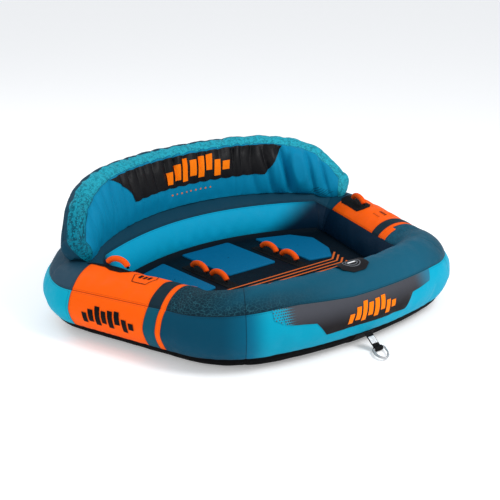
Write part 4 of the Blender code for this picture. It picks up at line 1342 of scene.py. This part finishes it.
def build_front_graphic():
    """The dark print below the front's top seam, with a short tail at its left end."""
    tail = np.linspace(GRAPHIC_TAIL, -GRAPHIC_END, 8)[:-1]
    s = np.concatenate([tail, np.linspace(-GRAPHIC_END, GRAPHIC_END, 150)])
    tail_low = np.interp(s, [GRAPHIC_TAIL, -GRAPHIC_END], [0.42, 0.26])
    low = np.where(s < -GRAPHIC_END, tail_low, outline_rows(s))
    low = np.where((s > -GRAPHIC_END) & (s < -0.42), 0.25, low)
    high = outer_seam(s + GRAPHIC_SHIFT) - 0.010
    t = np.linspace(0, 1, 22)[None, :]
    angle = low[:, None] + (high - low)[:, None] * t
    place = np.broadcast_to(s[:, None] + GRAPHIC_SHIFT, angle.shape)
    uv = np.stack([place, angle * HEIGHT_ROUND], -1)
    made = grid_object("front_graphic", on_ring(place, angle, GRAPHIC_LIFT), CLOTH_GRAPHIC, uv)
    stands_for(made, "nylon_grey", "front_graphic_panel")


PANEL_SHARES = (0.44, 0.985)  # of the front face's height
PANEL_HEM_PITCH = 0.072
PANEL_HEM_DEPTH = 0.030
PANEL_LIFT = 0.0030
PANEL_WIDTH = 0.95


def build_back_panel():
    """The black panel across the bolster's upper middle, with curved ends and a wavy hem."""
    t = eased(*PANEL_SHARES, 30, 0.4)
    rise = (t - t[0]) / (t[-1] - t[0])
    left = np.radians(-22.0 - 7.5 * rise**1.6)
    right = np.radians(25.5 + 6.0 * rise**0.8)
    across = np.linspace(0, 1, 170)[:, None]
    angle = left[None, :] * (1 - across) + right[None, :] * across
    waves = np.abs(np.sin(math.pi * angle * BACK_RUN / PANEL_HEM_PITCH))
    hem = PANEL_HEM_DEPTH * waves * (0.6 + 0.4 * ripple(angle, 0.3, 52))
    share = t[None, :] - hem * (1 - rise[None, :])
    points = on_back(angle, share, PANEL_LIFT)
    uv = np.stack([angle * BACK_RUN, arc_of(points, 1)], -1)
    edge = np.minimum(across, 1 - across) * PANEL_WIDTH
    gap = np.minimum(uv[..., 1], np.broadcast_to(edge, share.shape))
    made = grid_object("bolster_black_panel", points, CLOTH_BLACK, uv, np.stack([uv[..., 0], gap], -1))
    stands_for(made, "nylon_black")


def print_on_back(name, shapes, finish, lift=0.0062):
    """Shapes are grids of (metres along the bolster, share of the front face's height)."""
    grids = [on_back(shape[..., 0] / BACK_RUN, shape[..., 1], lift) for shape in shapes]
    return joined_object(name, grids, finish, uvs=shapes)


def build_back_prints():
    """A row of bars on the black panel, and a row of small dashes below it."""
    bars = slanted_bars(0.50, 0.92, -0.160, 0.0415, 0.013, 0.02)
    stands_for(print_on_back("bolster_mark", bars, PRINT_ORANGE), "nylon_orange")
    low, high = 0.272, 0.300
    dashes = []
    for x in -0.132 + 0.0335 * np.arange(9):
        dashes.append(quad([(x, low), (x + 0.009, low), (x + 0.011, high), (x + 0.002, high)], 1, 1))
    stands_for(print_on_back("bolster_dashes", dashes, PRINT_ORANGE, 0.0022), "nylon_orange")


# ---------------------------------------------------------------- floor, pads and strips
OUTLINE_STEP = 0.012
PAD_EDGE = ((1.0, 0.0), (1.0, 0.55), (0.992, 0.82), (0.975, 0.96), (0.94, 1.0))  # share, rise
ON_FLOOR = FLOOR_TOP + 0.0006


def flat_shape(name, corners, radius, height, thickness, finish, crown=0.0):
    """A pad: a rounded outline lofted inwards in rings, with a soft edge and a low crown."""
    outline = rounded(corners, radius)
    centre = outline.mean(0)
    rings = [(share, height + thickness * rise) for share, rise in PAD_EDGE]
    for share in np.linspace(0.88, 0.02, 12):
        rings.append((share, height + thickness + crown * (1 - share**2)))
    loops = []
    for share, z in rings:
        loops.append(np.concatenate([centre + (outline - centre) * share, np.full((len(outline), 1), z)], 1))
    grid = np.stack(loops, 1)
    return grid_object(name, grid, finish, grid[..., :2], close=(True, False))


def rounded(corners, radius):
    """An outline with its corners rounded, as evenly spaced points."""
    corners = np.array(corners, float)
    out = []
    for i, here in enumerate(corners):
        before = unit(corners[i - 1] - here)
        after = unit(corners[(i + 1) % len(corners)] - here)
        start, end = here + before * radius, here + after * radius
        for t in np.linspace(0, 1, 7):
            out.append(start * (1 - t) ** 2 + here * 2 * t * (1 - t) + end * t * t)
    out = np.array(out)
    closed = np.vstack([out, out[:1]])
    length = np.concatenate([[0], np.cumsum(np.linalg.norm(np.diff(closed, axis=0), axis=1))])
    even = np.arange(0, length[-1], OUTLINE_STEP)
    return np.stack([np.interp(even, length, closed[:, k]) for k in (0, 1)], -1)


FLOOR_CLOTH_TOP = FLOOR_TOP + 0.0005
FLOOR_TURN = 0.93  # share of the way out at which the cloth turns up to the walls


def build_floor():
    """The floor cover, flat under the pads and turned up a little at the walls."""
    inner = RING[:, ROW[4]]
    rings = []
    for share in np.linspace(1.0, 0.0, 26):
        turn = max(0.0, (share - FLOOR_TURN) / (1 - FLOOR_TURN)) ** 2
        z = FLOOR_CLOTH_TOP + (inner[:, 2] - FLOOR_CLOTH_TOP) * turn
        rings.append(np.concatenate([inner[:, :2] * share, z[:, None]], 1))
    grid = np.stack(rings, 1)
    made = grid_object("floor_cloth", grid, CLOTH_FLOOR, grid[..., :2], close=(True, False))
    stands_for(made, "nylon_navy", "floor_panel")


CENTRE_PAD = [(-0.157, 0.03), (0.157, 0.03), (0.157, 0.425), (-0.157, 0.425)]
RIGHT_PAD = [(0.309, -0.060), (0.440, -0.090), (0.515, 0.010), (0.565, 0.190), (0.500, 0.310),
             (0.309, 0.380)]
PAD_THICKNESS = 0.0085
PAD_CROWN = 0.0015


def build_pads():
    """Three padded mats on the floor, the outer two mirrored."""
    left = [(-x, y) for x, y in reversed(RIGHT_PAD)]
    for name, corners in (("centre", CENTRE_PAD), ("right", RIGHT_PAD), ("left", left)):
        made = flat_shape("pad_" + name, corners, 0.010, ON_FLOOR, PAD_THICKNESS, PAD_TEAL, PAD_CROWN)
        stands_for(made, "nylon_teal", "seat_pad_" + name)


def build_strips():
    """The webbing strips that the floor handles stand on."""
    for side in ("right", "left"):
        low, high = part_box("handle_strip_" + side)
        corners = [(low.x, low.y), (high.x, low.y), (high.x, high.y), (low.x, high.y)]
        made = flat_shape("strip_" + side, corners, 0.012, ON_FLOOR, 0.0028, STRAP)
        stands_for(made, "webbing_black", "handle_strip_" + side)


def stripe_line(points, wide):
    """Flat pieces of a mitred line of even width through points."""
    points = np.array(points, float)
    along = unit(np.diff(points, axis=0))
    across = np.stack([-along[:, 1], along[:, 0]], -1)
    mitres = [across[0]]
    for before, after in zip(across, across[1:]):
        middle = unit(before + after)
        mitres.append(middle / np.dot(middle, after))
    mitres.append(across[-1])
    edges = [(p - m * wide / 2, p + m * wide / 2) for p, m in zip(points, mitres)]
    return [quad([a[0], b[0], b[1], a[1]], 10, 1) for a, b in zip(edges, edges[1:])]


STRIPES = 5
STRIPE_WIDTH = 0.0100
FIRST_STRIPE_Y = -0.116
STRIPE_PITCH = 0.033
TURN_X = 0.420
FIRST_REACH = 0.084
REACH_STEP = 0.014
TURN_SLOPE = 0.86


def build_pinstripes():
    """Orange lines across the foot well that turn back at both ends, up to the walls."""
    grids, uvs = [], []
    z = FLOOR_TOP + 0.0013
    for i in range(STRIPES):
        y = FIRST_STRIPE_Y - STRIPE_PITCH * i
        reach = FIRST_REACH - REACH_STEP * i
        line = [(TURN_X, y), (TURN_X + reach, y + TURN_SLOPE * reach)]
        mirrored = [(-x, height) for x, height in reversed(line)]
        for flat in stripe_line(mirrored + line, STRIPE_WIDTH):
            uvs.append(flat)
            grids.append(np.concatenate([flat, np.full((*flat.shape[:2], 1), z)], -1))
    stands_for(joined_object("floor_pinstripes", grids, PRINT_FLOOR, uvs=uvs), "nylon_orange")


# ---------------------------------------------------------------- handles
def tube(name, path, radii, finish, body, sides=20, up=(0, 0, 1)):
    """A round or oval bar along a path, with closed ends. radii are (across, high) at each point."""
    path = np.asarray(path, float)
    along = unit(np.gradient(path, axis=0))
    side = unit(np.cross(along, np.array(up, float)))
    top = np.cross(side, along)
    turn = np.linspace(0, 2 * math.pi, sides, endpoint=False)
    radii = np.broadcast_to(np.asarray(radii, float), (len(path), 2))
    rings = (path[:, None] + side[:, None] * (np.cos(turn)[None, :, None] * radii[:, None, :1])
             + top[:, None] * (np.sin(turn)[None, :, None] * radii[:, None, 1:]))
    caps = [path[:1, None].repeat(sides, 1), path[-1:, None].repeat(sides, 1)]
    grid = np.concatenate([caps[0], rings, caps[1]], 0)
    length = np.concatenate([[0], np.cumsum(np.linalg.norm(np.diff(path, axis=0), axis=1))])
    length = np.concatenate([length[:1], length, length[-1:]])
    around = turn * radii.mean()
    uv = np.stack(np.meshgrid(length, around, indexing="ij"), -1)
    return grid_object(name, grid, finish, uv, close=(False, True), body=body)


def joint_named(name):
    """A joint of the frame, by its name."""
    return next(joint for joint in frame["joints"] if joint["name"] == name)


ARCH_HALF = 0.064
ARCH_RISE = 0.042
FOAM_START = 0.36  # angle round the arch at which the foam begins
FOAM_RADIUS = 0.0142
CORE_START = 0.145
CORE_FLAT = np.array([0.0110, 0.0022])  # half width and half thickness at the sewn ends
CORE_ROUND = np.array([0.0058, 0.0058])


def build_handle(name):
    """An arched foam grip on a strap, over the joint that folds it."""
    joint = joint_named(name + "_fold")
    foot = np.array(joint["pos_m"])
    along = unit(joint["axis"])
    low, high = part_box(name + "_grip")
    rise_way = (np.array(low) + np.array(high)) / 2 - foot
    up = unit(rise_way - along * np.dot(rise_way, along))
    across = unit(np.cross(along, up))

    def arch(turns):
        run = along * (-ARCH_HALF * np.cos(turns))[:, None]
        return foot + run + up * (ARCH_RISE * np.sin(turns))[:, None]

    turns = np.linspace(FOAM_START, math.pi - FOAM_START, 34)
    from_end = np.minimum(turns - turns[0], turns[-1] - turns)
    ends = 0.78 + 0.22 * np.sin(np.clip(from_end / 0.09, 0, 1) * math.pi / 2)
    swell = FOAM_RADIUS + 0.0004 * np.sin(turns * 2)
    radii = np.stack([swell * ends, swell * ends * 0.97], -1)
    grip = tube(name + "_foam", arch(turns), radii, FOAM, name, 24, across)
    stands_for(grip, "grip_orange", name + "_grip")
    turns = np.linspace(CORE_START, math.pi - CORE_START, 30)
    flat = np.clip(np.minimum(turns, math.pi - turns) / FOAM_START, 0, 1)[:, None]
    core = tube(name + "_webbing", arch(turns), CORE_FLAT * (1 - flat) + CORE_ROUND * flat, STRAP, name,
                16, across)
    stands_for(core, "webbing_black", name + "_core")


HANDLES = [f"floor_handle_{place}_{side}" for place in ("front", "rear") for side in ("left", "right")]
HANDLES += ["side_handle_left", "side_handle_right"]


BACKING = (1.200, 1.450)  # places along the ring of a backing's two ends


def build_backings():
    """The black patches that the side handles are sewn to, with cut corners."""
    near, far = BACKING
    s = np.linspace(near, far, 46)
    low = np.interp(s, [near, 1.235, 1.30, 1.335, far], [1.66, 1.46, 1.46, 1.56, 1.56])
    high = np.interp(s, [near, 1.225, 1.40, far], [1.90, 2.08, 2.08, 1.93])
    t = np.linspace(0, 1, 20)[None, :]
    angle = low[:, None] + (high - low)[:, None] * t
    for side, sign in (("left", -1), ("right", 1)):
        place = np.broadcast_to(s[:, None] * sign, angle.shape)
        points = on_ring(place, angle, 0.0022)
        uv = np.stack([place, angle * HEIGHT_ROUND], -1)
        made = grid_object("backing_" + side, points, STRAP, uv, inward=sign < 0)
        stands_for(made, "webbing_black", "handle_backing_" + side)


# ---------------------------------------------------------------- tow pieces
STRAP_SHARES = (0.05, 0.86)  # of the way from the strap's root to the connector's bar
STRAP_RADII = (0.023, 0.0021)
LABEL_HALF = (0.018, 0.019)
LABEL_LIFT = 0.0032
LOOP_HALF = 0.0248


def build_tow_strap():
    """The flat strap that hangs from the ring's bottom front, with its label and its end loop."""
    root = np.array(joint_named("tow_strap_swing")["pos_m"])
    end = np.array(joint_named("connector_swing")["pos_m"])
    drop = end - root
    t = np.linspace(*STRAP_SHARES, 26)
    path = root + drop * t[:, None]
    made = tube("tow_webbing_strap", path, STRAP_RADII, STRAP, "tow_strap", 24, (0, 0, 1))
    stands_for(made, "webbing_black", "tow_strap")
    build_tow_label(root + drop * 0.50, unit(drop))
    x = np.linspace(-LOOP_HALF, LOOP_HALF, 30)
    path = end + np.stack([x, 0 * x, 0 * x], -1)
    edge = np.clip((LOOP_HALF - np.abs(x)) / 0.003, 0, 1) ** 0.5
    size = 0.0098 + 0.0028 * edge
    made = tube("tow_loop_pad", path, np.stack([size, size], -1), STRAP, "tow_strap", 24, (0, 1, 0))
    stands_for(made, "webbing_black", "strap_loop")


def build_tow_label(place, along):
    """A small white label that lies on the strap."""
    out = np.array([0, along[2], -along[1]])
    middle = place + out * LABEL_LIFT
    across, down = (np.linspace(-half, half, 9) for half in LABEL_HALF)
    grid = np.stack([[middle + along * d + np.array([x, 0, 0]) for x in across] for d in down])
    uv = np.stack(np.meshgrid(np.linspace(-1, 1, 9), np.linspace(-1, 1, 9), indexing="ij"), -1)
    made = grid_object("tow_label", grid, LABEL_PRINT, uv, body="tow_strap")
    thicken(made, 0.0008)
    stands_for(made, "label_white", "strap_label")


def label_pattern(t, u, v, vector):
    """Plain grey lines, where a label carries its print."""
    rows = t.less(t.fract(t.times(u, 3.4)), 0.34)
    inside = t.less(t.size(v), 0.72)
    ragged = t.math("GREATER_THAN", t.noise(vector, 7.0, 1.0), 0.45)
    ink = t.times(t.times(rows, inside), ragged)
    return t.mix(ink, (0.80, 0.82, 0.84, 1), (0.10, 0.11, 0.12, 1))


LABEL_PRINT = cloth("label_print", (0.8, 0.8, 0.8), seam=False, pattern=label_pattern)


def smooth_path(points, count):
    """A Catmull-Rom curve through points, with count pieces between each two."""
    places = np.linspace(0, len(points) - 1, count * (len(points) - 1) + 1)
    return catmull(np.array(points, float), places, False)


CONNECTOR_YAW = math.radians(26.0)
CONNECTOR_BEND = 0.030
CONNECTOR_BODY = [
    (0.0380, 0.0), (0.020, 0.0), (-0.012, 0.0), (-0.0310, 0.0), (-0.0368, 0.0060), (-0.0385, 0.020),
    (-0.0368, 0.050), (-0.0300, 0.078), (-0.0175, 0.100), (0.0, 0.1105), (0.0165, 0.1015), (0.0258, 0.0845)]
CONNECTOR_GATE = [(0.0355, 0.0105), (0.0353, 0.030), (0.0345, 0.055), (0.0290, 0.0775)]


GATE_RADII = (0.0044, 0.0043)


def connector_place(across, out):
    """A place on the connector: across its bar, and out along its own yawed length."""
    lead = np.array([-math.sin(CONNECTOR_YAW), -math.cos(CONNECTOR_YAW), 0])
    bend = min(1.0, max(0.0, out / CONNECTOR_BEND))
    forward = np.array([0, -1, 0]) * (1 - bend) + lead * bend
    return np.array(joint_named("connector_swing")["pos_m"]) + np.array([across, 0, 0]) + forward * out


def build_connector():
    """A hook of round rod with a nose, and the sprung gate that closes it."""
    path = smooth_path([connector_place(*place) for place in CONNECTOR_BODY], 8)
    reach = np.linspace(0, 1, len(path))
    wide = 0.0056 + 0.0026 * bell(reach - 0.56, 0.19)
    radii = np.stack([wide, np.full(len(path), 0.0054)], -1)
    made = tube("connector_rod", path, radii, METAL, "connector", 20)
    stands_for(made, "alloy", "connector_body")
    path = smooth_path([connector_place(*place) for place in CONNECTOR_GATE], 8)
    made = tube("connector_gate_rod", path, GATE_RADII, METAL, "connector_gate", 18)
    stands_for(made, "alloy", "connector_gate")


# ---------------------------------------------------------------- the badge over the main valve
FLAP_HALF = 0.083
FLAP_ANGLES = (1.13, 1.98)
FLAP_LIFT = 0.0118


def badge_pattern(t, u, v, vector):
    """Thin grey ovals round a white bar, on black."""
    oval_u = t.times(u, 1 / 0.060)
    oval_v = t.times(v, 1 / 0.052)
    reach = t.length(oval_u, oval_v)
    lines = t.less(t.fract(t.times(reach, 4.0)), 0.26)
    ring = t.times(lines, t.less(reach, 1.0))
    ring = t.times(ring, t.math("GREATER_THAN", reach, 0.42))
    across = t.less(t.size(u), 0.024)
    high = t.less(t.size(v), 0.0065)
    base = t.mix(t.times(ring, 0.8), (0.006, 0.006, 0.008, 1), (0.20, 0.22, 0.25, 1))
    return t.mix(t.times(across, high), base, (0.85, 0.87, 0.90, 1))


BADGE = cloth("badge", BLACK, seam=False, pattern=badge_pattern, roughness=0.5, gloss=0.10)


BADGE_COLUMNS = 47
BADGE_ROWS = 27
PRINT_OFFSET = 1.0  # moves the underside away from the print
EDGE_UV = 0.2  # a plain spot, outside the print, for the badge's edges


def build_badge():
    """A stiff six-sided flap with a soft edge, on its own hinge."""
    middle = sum(FLAP_ANGLES) / 2
    reach = (FLAP_ANGLES[1] - FLAP_ANGLES[0]) / 2
    share = np.sin(np.linspace(-1, 1, BADGE_COLUMNS) * math.pi / 2)
    tall = 1 - 0.42 * np.clip((np.abs(share) - 0.42) / 0.58, 0, 1) ** 1.1
    v = np.sin(np.linspace(-1, 1, BADGE_ROWS) * math.pi / 2)
    place = np.broadcast_to((share * FLAP_HALF)[:, None], (BADGE_COLUMNS, BADGE_ROWS))
    angle = middle + reach * tall[:, None] * v[None, :]
    rim = np.maximum(np.abs(share)[:, None] ** 8, np.abs(v)[None, :] ** 8)
    top = ring_point(place, angle, 0)
    out = grid_normals(top)
    upper = top + out * (FLAP_LIFT + 0.0004 - 0.0016 * rim)[..., None]
    lower = top + out * (FLAP_LIFT - 0.0026 + 0.0006 * rim)[..., None]
    uv = np.stack([place, (angle - middle) * HEIGHT_ROUND], -1)
    edge = [np.stack([upper[0], lower[0]]), np.stack([lower[-1], upper[-1]]),
            np.stack([lower[:, 0], upper[:, 0]], 1), np.stack([upper[:, -1], lower[:, -1]], 1)]
    grids = [upper, lower[::-1]] + edge
    uvs = [uv, uv[::-1] + PRINT_OFFSET] + [np.full((*grid.shape[:2], 2), EDGE_UV) for grid in edge]
    made = joined_object("valve_badge", grids, BADGE, "valve_flap", uvs)
    stands_for(made, "nylon_black", "valve_flap")


# ---------------------------------------------------------------- valves, zip and patches
def turned(name, profile, place, axis, finish, body, sides=48, ribs=0.0):
    """A turned piece: a profile of (radius, height) spun round an axis, ribbed where it asks."""
    axis = unit(axis)
    side = unit(np.cross(axis, (0.0, 0.3, 1.0) if abs(axis[2]) < 0.9 else (1.0, 0.0, 0.0)))
    other = np.cross(axis, side)
    turn = np.linspace(0, 2 * math.pi, sides, endpoint=False)
    notch = 1 - ribs * (np.arange(sides) % 4 < 2)
    grid = []
    for radius, height, ribbed in profile:
        r = radius * (notch if ribbed else 1.0)
        grid.append(np.array(place) + axis * height + np.outer(np.cos(turn) * r, side)
                    + np.outer(np.sin(turn) * r, other))
    grid = np.array(grid)
    uv = np.stack(np.broadcast_arrays(turn[None, :] * 0.02, np.arange(len(grid))[:, None] * 0.01), -1)
    return grid_object(name, grid, finish, uv, close=(False, True), body=body)


# radius, height, and whether it is ribbed
SEAT_PROFILE = (
    (0.0, -0.016, 0), (0.0095, -0.016, 0), (0.0095, -0.0066, 0), (0.0210, -0.0064, 0), (0.0210, 0.0006, 0),
    (0.0205, 0.0016, 0), (0.0190, 0.0016, 0), (0.0175, 0.0002, 0), (0.0, 0.0002, 0))
CAP_PROFILE = (
    (0.0, 0.0023, 0), (0.0178, 0.0023, 0), (0.0192, 0.0028, 1), (0.0192, 0.0042, 1), (0.0180, 0.0050, 1),
    (0.0150, 0.0050, 0), (0.0142, 0.0042, 0), (0.0040, 0.0040, 0), (0.0, 0.0044, 0))
CAP_SINK = 0.0028  # from the middle of the cap down to its seat
CAP_RIBS = 0.05


def build_valves():
    """Each valve's seat in the cover, and its ribbed cap on the joint that turns it."""
    for name in VALVES:
        axis = np.array(joint_named(name + "_valve_cap_turn")["axis"])
        low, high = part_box(name + "_valve_cap")
        middle = (np.array(low) + np.array(high)) / 2
        surface = middle - unit(axis) * CAP_SINK
        made = turned(name + "_valve_seat", SEAT_PROFILE, surface, axis, PLASTIC, ROOT)
        stands_for(made, "valve_plastic", name + "_valve_body")
        made = turned(name + "_valve_top", CAP_PROFILE, surface, axis, PLASTIC, name + "_valve_cap", 96,
                      CAP_RIBS)
        stands_for(made, "valve_plastic", name + "_valve_cap")


ZIP_HALF = 0.350
ZIP_SEAM = -0.20
ZIP_HALF_WIDTH = 0.075
TOOTH_PITCH = 0.0052
TOOTH_LENGTH = 0.0030
TOOTH_HALF = 0.012
TOOTH_SHIFT = 0.005


def build_zip():
    """The zip's tape across the rear with its row of interlocked teeth."""
    s = np.linspace(HALF_LENGTH - ZIP_HALF, HALF_LENGTH + ZIP_HALF, 110)[:, None]
    angle = np.linspace(ZIP_SEAM - ZIP_HALF_WIDTH, ZIP_SEAM + ZIP_HALF_WIDTH, 9)[None, :]
    points = on_ring(s, angle, 0.0016)
    uv = np.stack(np.broadcast_arrays(s, angle * HEIGHT_ROUND), -1)
    made = grid_object("zip_cloth", points, STRAP, uv)
    stands_for(made, "nylon_black", "zip_tape")
    lift = 0.0030 * np.sin(np.linspace(0.15, math.pi - 0.15, 3))[:, None]
    teeth = []
    for k in range(int(2 * ZIP_HALF / TOOTH_PITCH) - 4):
        place = HALF_LENGTH - ZIP_HALF + (k + 2) * TOOTH_PITCH
        end = place + TOOTH_LENGTH
        middle = ZIP_SEAM + (TOOTH_SHIFT if k % 2 else -TOOTH_SHIFT)
        low, high = middle - TOOTH_HALF, middle + TOOTH_HALF
        tooth = quad([(place, low), (end, low), (end, high), (place, high)], 2, 3)
        teeth.append(on_ring(tooth[..., 0], tooth[..., 1], 0.0018)
                     + ring_out(tooth[..., 0], tooth[..., 1]) * lift[..., None])
    made = joined_object("zip_teeth", teeth, PLASTIC)


def ring_out(s, angle):
    """The way out of the ring's smooth surface."""
    step = 0.004
    along = ring_point(s + step, angle) - ring_point(s - step, angle)
    around = ring_point(s, angle + 0.02) - ring_point(s, angle - 0.02)
    return unit(np.cross(along, around))


def build_anchor():
    """The sewn patch under the front that the tow strap hangs from."""
    s = np.linspace(-0.06, 0.06, 15)[:, None]
    angle = np.linspace(-1.28, SEAM_BOTTOM - 0.012, 9)[None, :]
    points = on_ring(s, angle, 0.0020)
    uv = np.stack(np.broadcast_arrays(s, angle * HEIGHT_ROUND), -1)
    made = grid_object("tow_anchor", points, STRAP, uv)
    stands_for(made, "webbing_black", "tow_anchor_patch")


HEXAGON = ((-1, 0), (-0.62, -1), (0.62, -1), (1, 0), (0.62, 1), (-0.62, 1))


def hexagon(centre, width, height, thick):
    """Flat pieces of a six-sided outline that stands on a long side."""
    centre = np.array(centre)
    outer = [centre + np.array(corner) * (width / 2, height / 2) for corner in HEXAGON]
    inner = [centre + (corner - centre) * (1 - 2 * thick / height) for corner in outer]
    sides = zip(outer, outer[1:] + outer[:1], inner[1:] + inner[:1], inner)
    return [quad(corners, 12, 1) for corners in sides]


def block(left, right, low, high, across, up):
    """A flat upright rectangle."""
    return quad([(left, low), (right, low), (right, high), (left, high)], across, up)


LEFT_MARK = (-1.092, 1.56 * HEIGHT_ROUND)
RIGHT_MARK = 1.050
RIGHT_ROWS = (1.50 * HEIGHT_ROUND, 1.80 * HEIGHT_ROUND)


def build_patch_marks():
    """Thin outlines and bars in place of the printed number and small print."""
    shapes = hexagon(LEFT_MARK, 0.132, 0.122, 0.0032)
    for shift in (-0.026, 0.0, 0.026):
        left, low = LEFT_MARK[0] + shift, LEFT_MARK[1]
        shapes.append(block(left - 0.008, left + 0.007, low - 0.020, low + 0.020, 4, 9))
    print_on_ring("patch_mark_left", shapes, PRINT_BLACK)
    tall, small = RIGHT_ROWS
    shapes = []
    for k in range(4):
        left = RIGHT_MARK + k * 0.016
        shapes.append(block(left, left + 0.007, tall, tall + 0.022, 1, 4))
        shapes.append(block(left + 0.004, left + 0.007, small, small + 0.012, 1, 2))
    print_on_ring("patch_mark_right", shapes, PRINT_BLACK)


STEP_WIDTH = 0.036
STEP_TOP_WIDTH = 0.042
STEP_LIFT = 0.0014


def build_stripe_steps():
    """Each orange stripe is wider on its inner part."""
    low, high = 1.93 * HEIGHT_ROUND, (SEAM_INNER - 0.02) * HEIGHT_ROUND
    edge = STRIPE_FRONT + 0.002
    right = [(edge - STEP_WIDTH, low), (edge, low), (edge, high), (edge - STEP_TOP_WIDTH, high)]
    left = [(-right[i][0], right[i][1]) for i in (1, 0, 3, 2)]
    shapes = [quad(corners, 6, 10) for corners in (left, right)]
    print_on_ring("stripe_steps", shapes, PATCH_EXTRA, STEP_LIFT)


STITCH_ROW = 0.755
STITCH_SPACE = 0.017


def build_bolster_stitches():
    """A few dark lines sewn aslant at the right end of the bolster's hem."""
    shapes = []
    for k in range(6):
        run = STITCH_ROW + STITCH_SPACE * k
        corners = [(run, 0.08), (run + 0.0030, 0.08), (run + 0.0500, 0.28), (run + 0.047, 0.28)]
        shapes.append(quad(corners, 1, 6))
    print_on_back("bolster_stitches", shapes, PRINT_BLACK, 0.0012)


# ---------------------------------------------------------------- bladders
BLADDER_GAP = 0.014
BLADDER_SHARE = 0.76


def build_bladders():
    """The air bladders inside the covers, a little slack, so that no fold meets them."""
    s = np.linspace(-HALF_LENGTH, HALF_LENGTH, 160, endpoint=False)[:, None]
    angle = np.linspace(UNDER, UNDER + 2 * math.pi, 29)[None, :-1]
    points = ring_point(s, angle, -BLADDER_GAP)
    uv = np.stack(np.broadcast_arrays(s, angle * HEIGHT_ROUND), -1)
    made = grid_object("main_air_bladder", points, PVC, uv, close=(True, True))
    stands_for(made, "bladder_pvc", "main_bladder")
    angles = np.linspace(-BLUNT_END, BLUNT_END, 80)
    loops = back_surface(angles, [10, 4, 8, 3], False)[:, :-1]
    middle = loops.mean(1, keepdims=True)
    share = np.full((len(angles), 1, 1), BLADDER_SHARE)
    share[[0, -1]] = 0.02
    points = middle + (loops - middle) * share
    uv = points[..., [0, 2]]
    made = grid_object("backrest_air_bladder", points, PVC, uv, close=(False, True))
    stands_for(made, "bladder_pvc", "backrest_bladder")


# ---------------------------------------------------------------- stage
FLOOR_GLOW = 0.28  # a light table, so that the ground stays pale
FLOOR_SIZE = 30.0
FLOOR_DROP = 0.0008  # keeps the ground just clear of the tube's underside
WORLD_COLOUR = (0.95, 0.97, 1.0, 1)
WORLD_STRENGTH = 0.64
# name, place, target, width and height, power
LIGHTS = (
    ("key", (1.2, -3.4, 4.0), (0, 0, 0.2), (2.2, 2.2), 150),
    ("fill", (-4.4, -1.6, 2.2), (-0.3, 0.0, 0.3), (2.4, 2.0), 36),
    ("rim", (-1.8, 3.6, 3.2), (-0.2, 0.2, 0.3), (2.0, 2.0), 50),
)
LENS = 94.37
CAMERA_PLACE = (-4.0463, -4.7662, 2.4533)
CAMERA_RIGHT = (0.7658, -0.6431, 0.0)
CAMERA_BACK = (-0.6070, -0.7227, 0.3306)


def build_stage():
    """A large pale ground that belongs to the picture, not to the part."""
    floor = bpy.data.meshes.new("floor")
    corners = [(x * FLOOR_SIZE, y * FLOOR_SIZE, 0) for x, y in ((-1, -1), (1, -1), (1, 1), (-1, 1))]
    floor.from_pydata(corners, [], [(0, 1, 2, 3)])
    made, _, shader = nodes_of("studio_floor")
    shader.inputs["Base Color"].default_value = (0.90, 0.91, 0.92, 1)
    shader.inputs["Roughness"].default_value = 0.8
    shader.inputs["Specular IOR Level"].default_value = 0.1
    shader.inputs["Emission Color"].default_value = (1, 1, 1, 1)
    shader.inputs["Emission Strength"].default_value = FLOOR_GLOW
    floor.materials.append(made)
    ground = bpy.data.objects.new("studio_floor", floor)
    ground.location.z = -FLOOR_DROP
    bpy.context.scene.collection.objects.link(ground)


def area_light(name, place, target, size, power):
    """A rectangular light that looks from its place at a target."""
    data = bpy.data.lights.new(name, "AREA")
    data.shape = "RECTANGLE"
    data.size, data.size_y = size
    data.energy = power
    light = bpy.data.objects.new(name, data)
    light.location = place
    light.rotation_euler = (Vector(target) - Vector(place)).to_track_quat("-Z", "Y").to_euler()
    bpy.context.scene.collection.objects.link(light)


def build_lights():
    """A soft sky and three area lights."""
    world = bpy.data.worlds.new("studio")
    world.use_nodes = True
    sky = world.node_tree.nodes["Background"]
    sky.inputs["Color"].default_value = WORLD_COLOUR
    sky.inputs["Strength"].default_value = WORLD_STRENGTH
    bpy.context.scene.world = world
    bpy.context.scene.view_settings.view_transform = "Standard"
    for light in LIGHTS:
        area_light(*light)


def build_camera():
    """A long lens, from the front left and above."""
    data = bpy.data.cameras.new("camera")
    data.sensor_width = 36.0
    data.lens = LENS
    camera = bpy.data.objects.new("camera", data)
    right = Vector(CAMERA_RIGHT).normalized()
    back = Vector(CAMERA_BACK).normalized()
    up = back.cross(right).normalized()
    turn = Matrix((right, up, back)).transposed().to_4x4()
    camera.matrix_world = Matrix.Translation(CAMERA_PLACE) @ turn
    bpy.context.scene.collection.objects.link(camera)
    bpy.context.scene.camera = camera


# ---------------------------------------------------------------- CAD nodes that stay
def finish_nodes():
    """Gives the small CAD pieces that stay their finishes."""
    kept = {"floor_bladder": PVC, "zip_slider": PLASTIC, "zip_pull": PLASTIC, "tow_webbing": STRAP}
    for name, finish in kept.items():
        for slot in frame["nodes"][name].material_slots:
            slot.material = finish


# ---------------------------------------------------------------- run
build_ring_cover()
build_bottom()
build_bolster()
build_back_panel()
build_back_prints()
build_front_graphic()
build_ring_prints()
build_floor()
build_pads()
build_strips()
build_pinstripes()
for handle in HANDLES:
    build_handle(handle)
build_backings()
build_tow_strap()
build_connector()
build_badge()
build_valves()
build_zip()
build_anchor()
build_patch_marks()
build_stripe_steps()
build_bolster_stitches()
build_bladders()
finish_nodes()
build_stage()
build_lights()
build_camera()
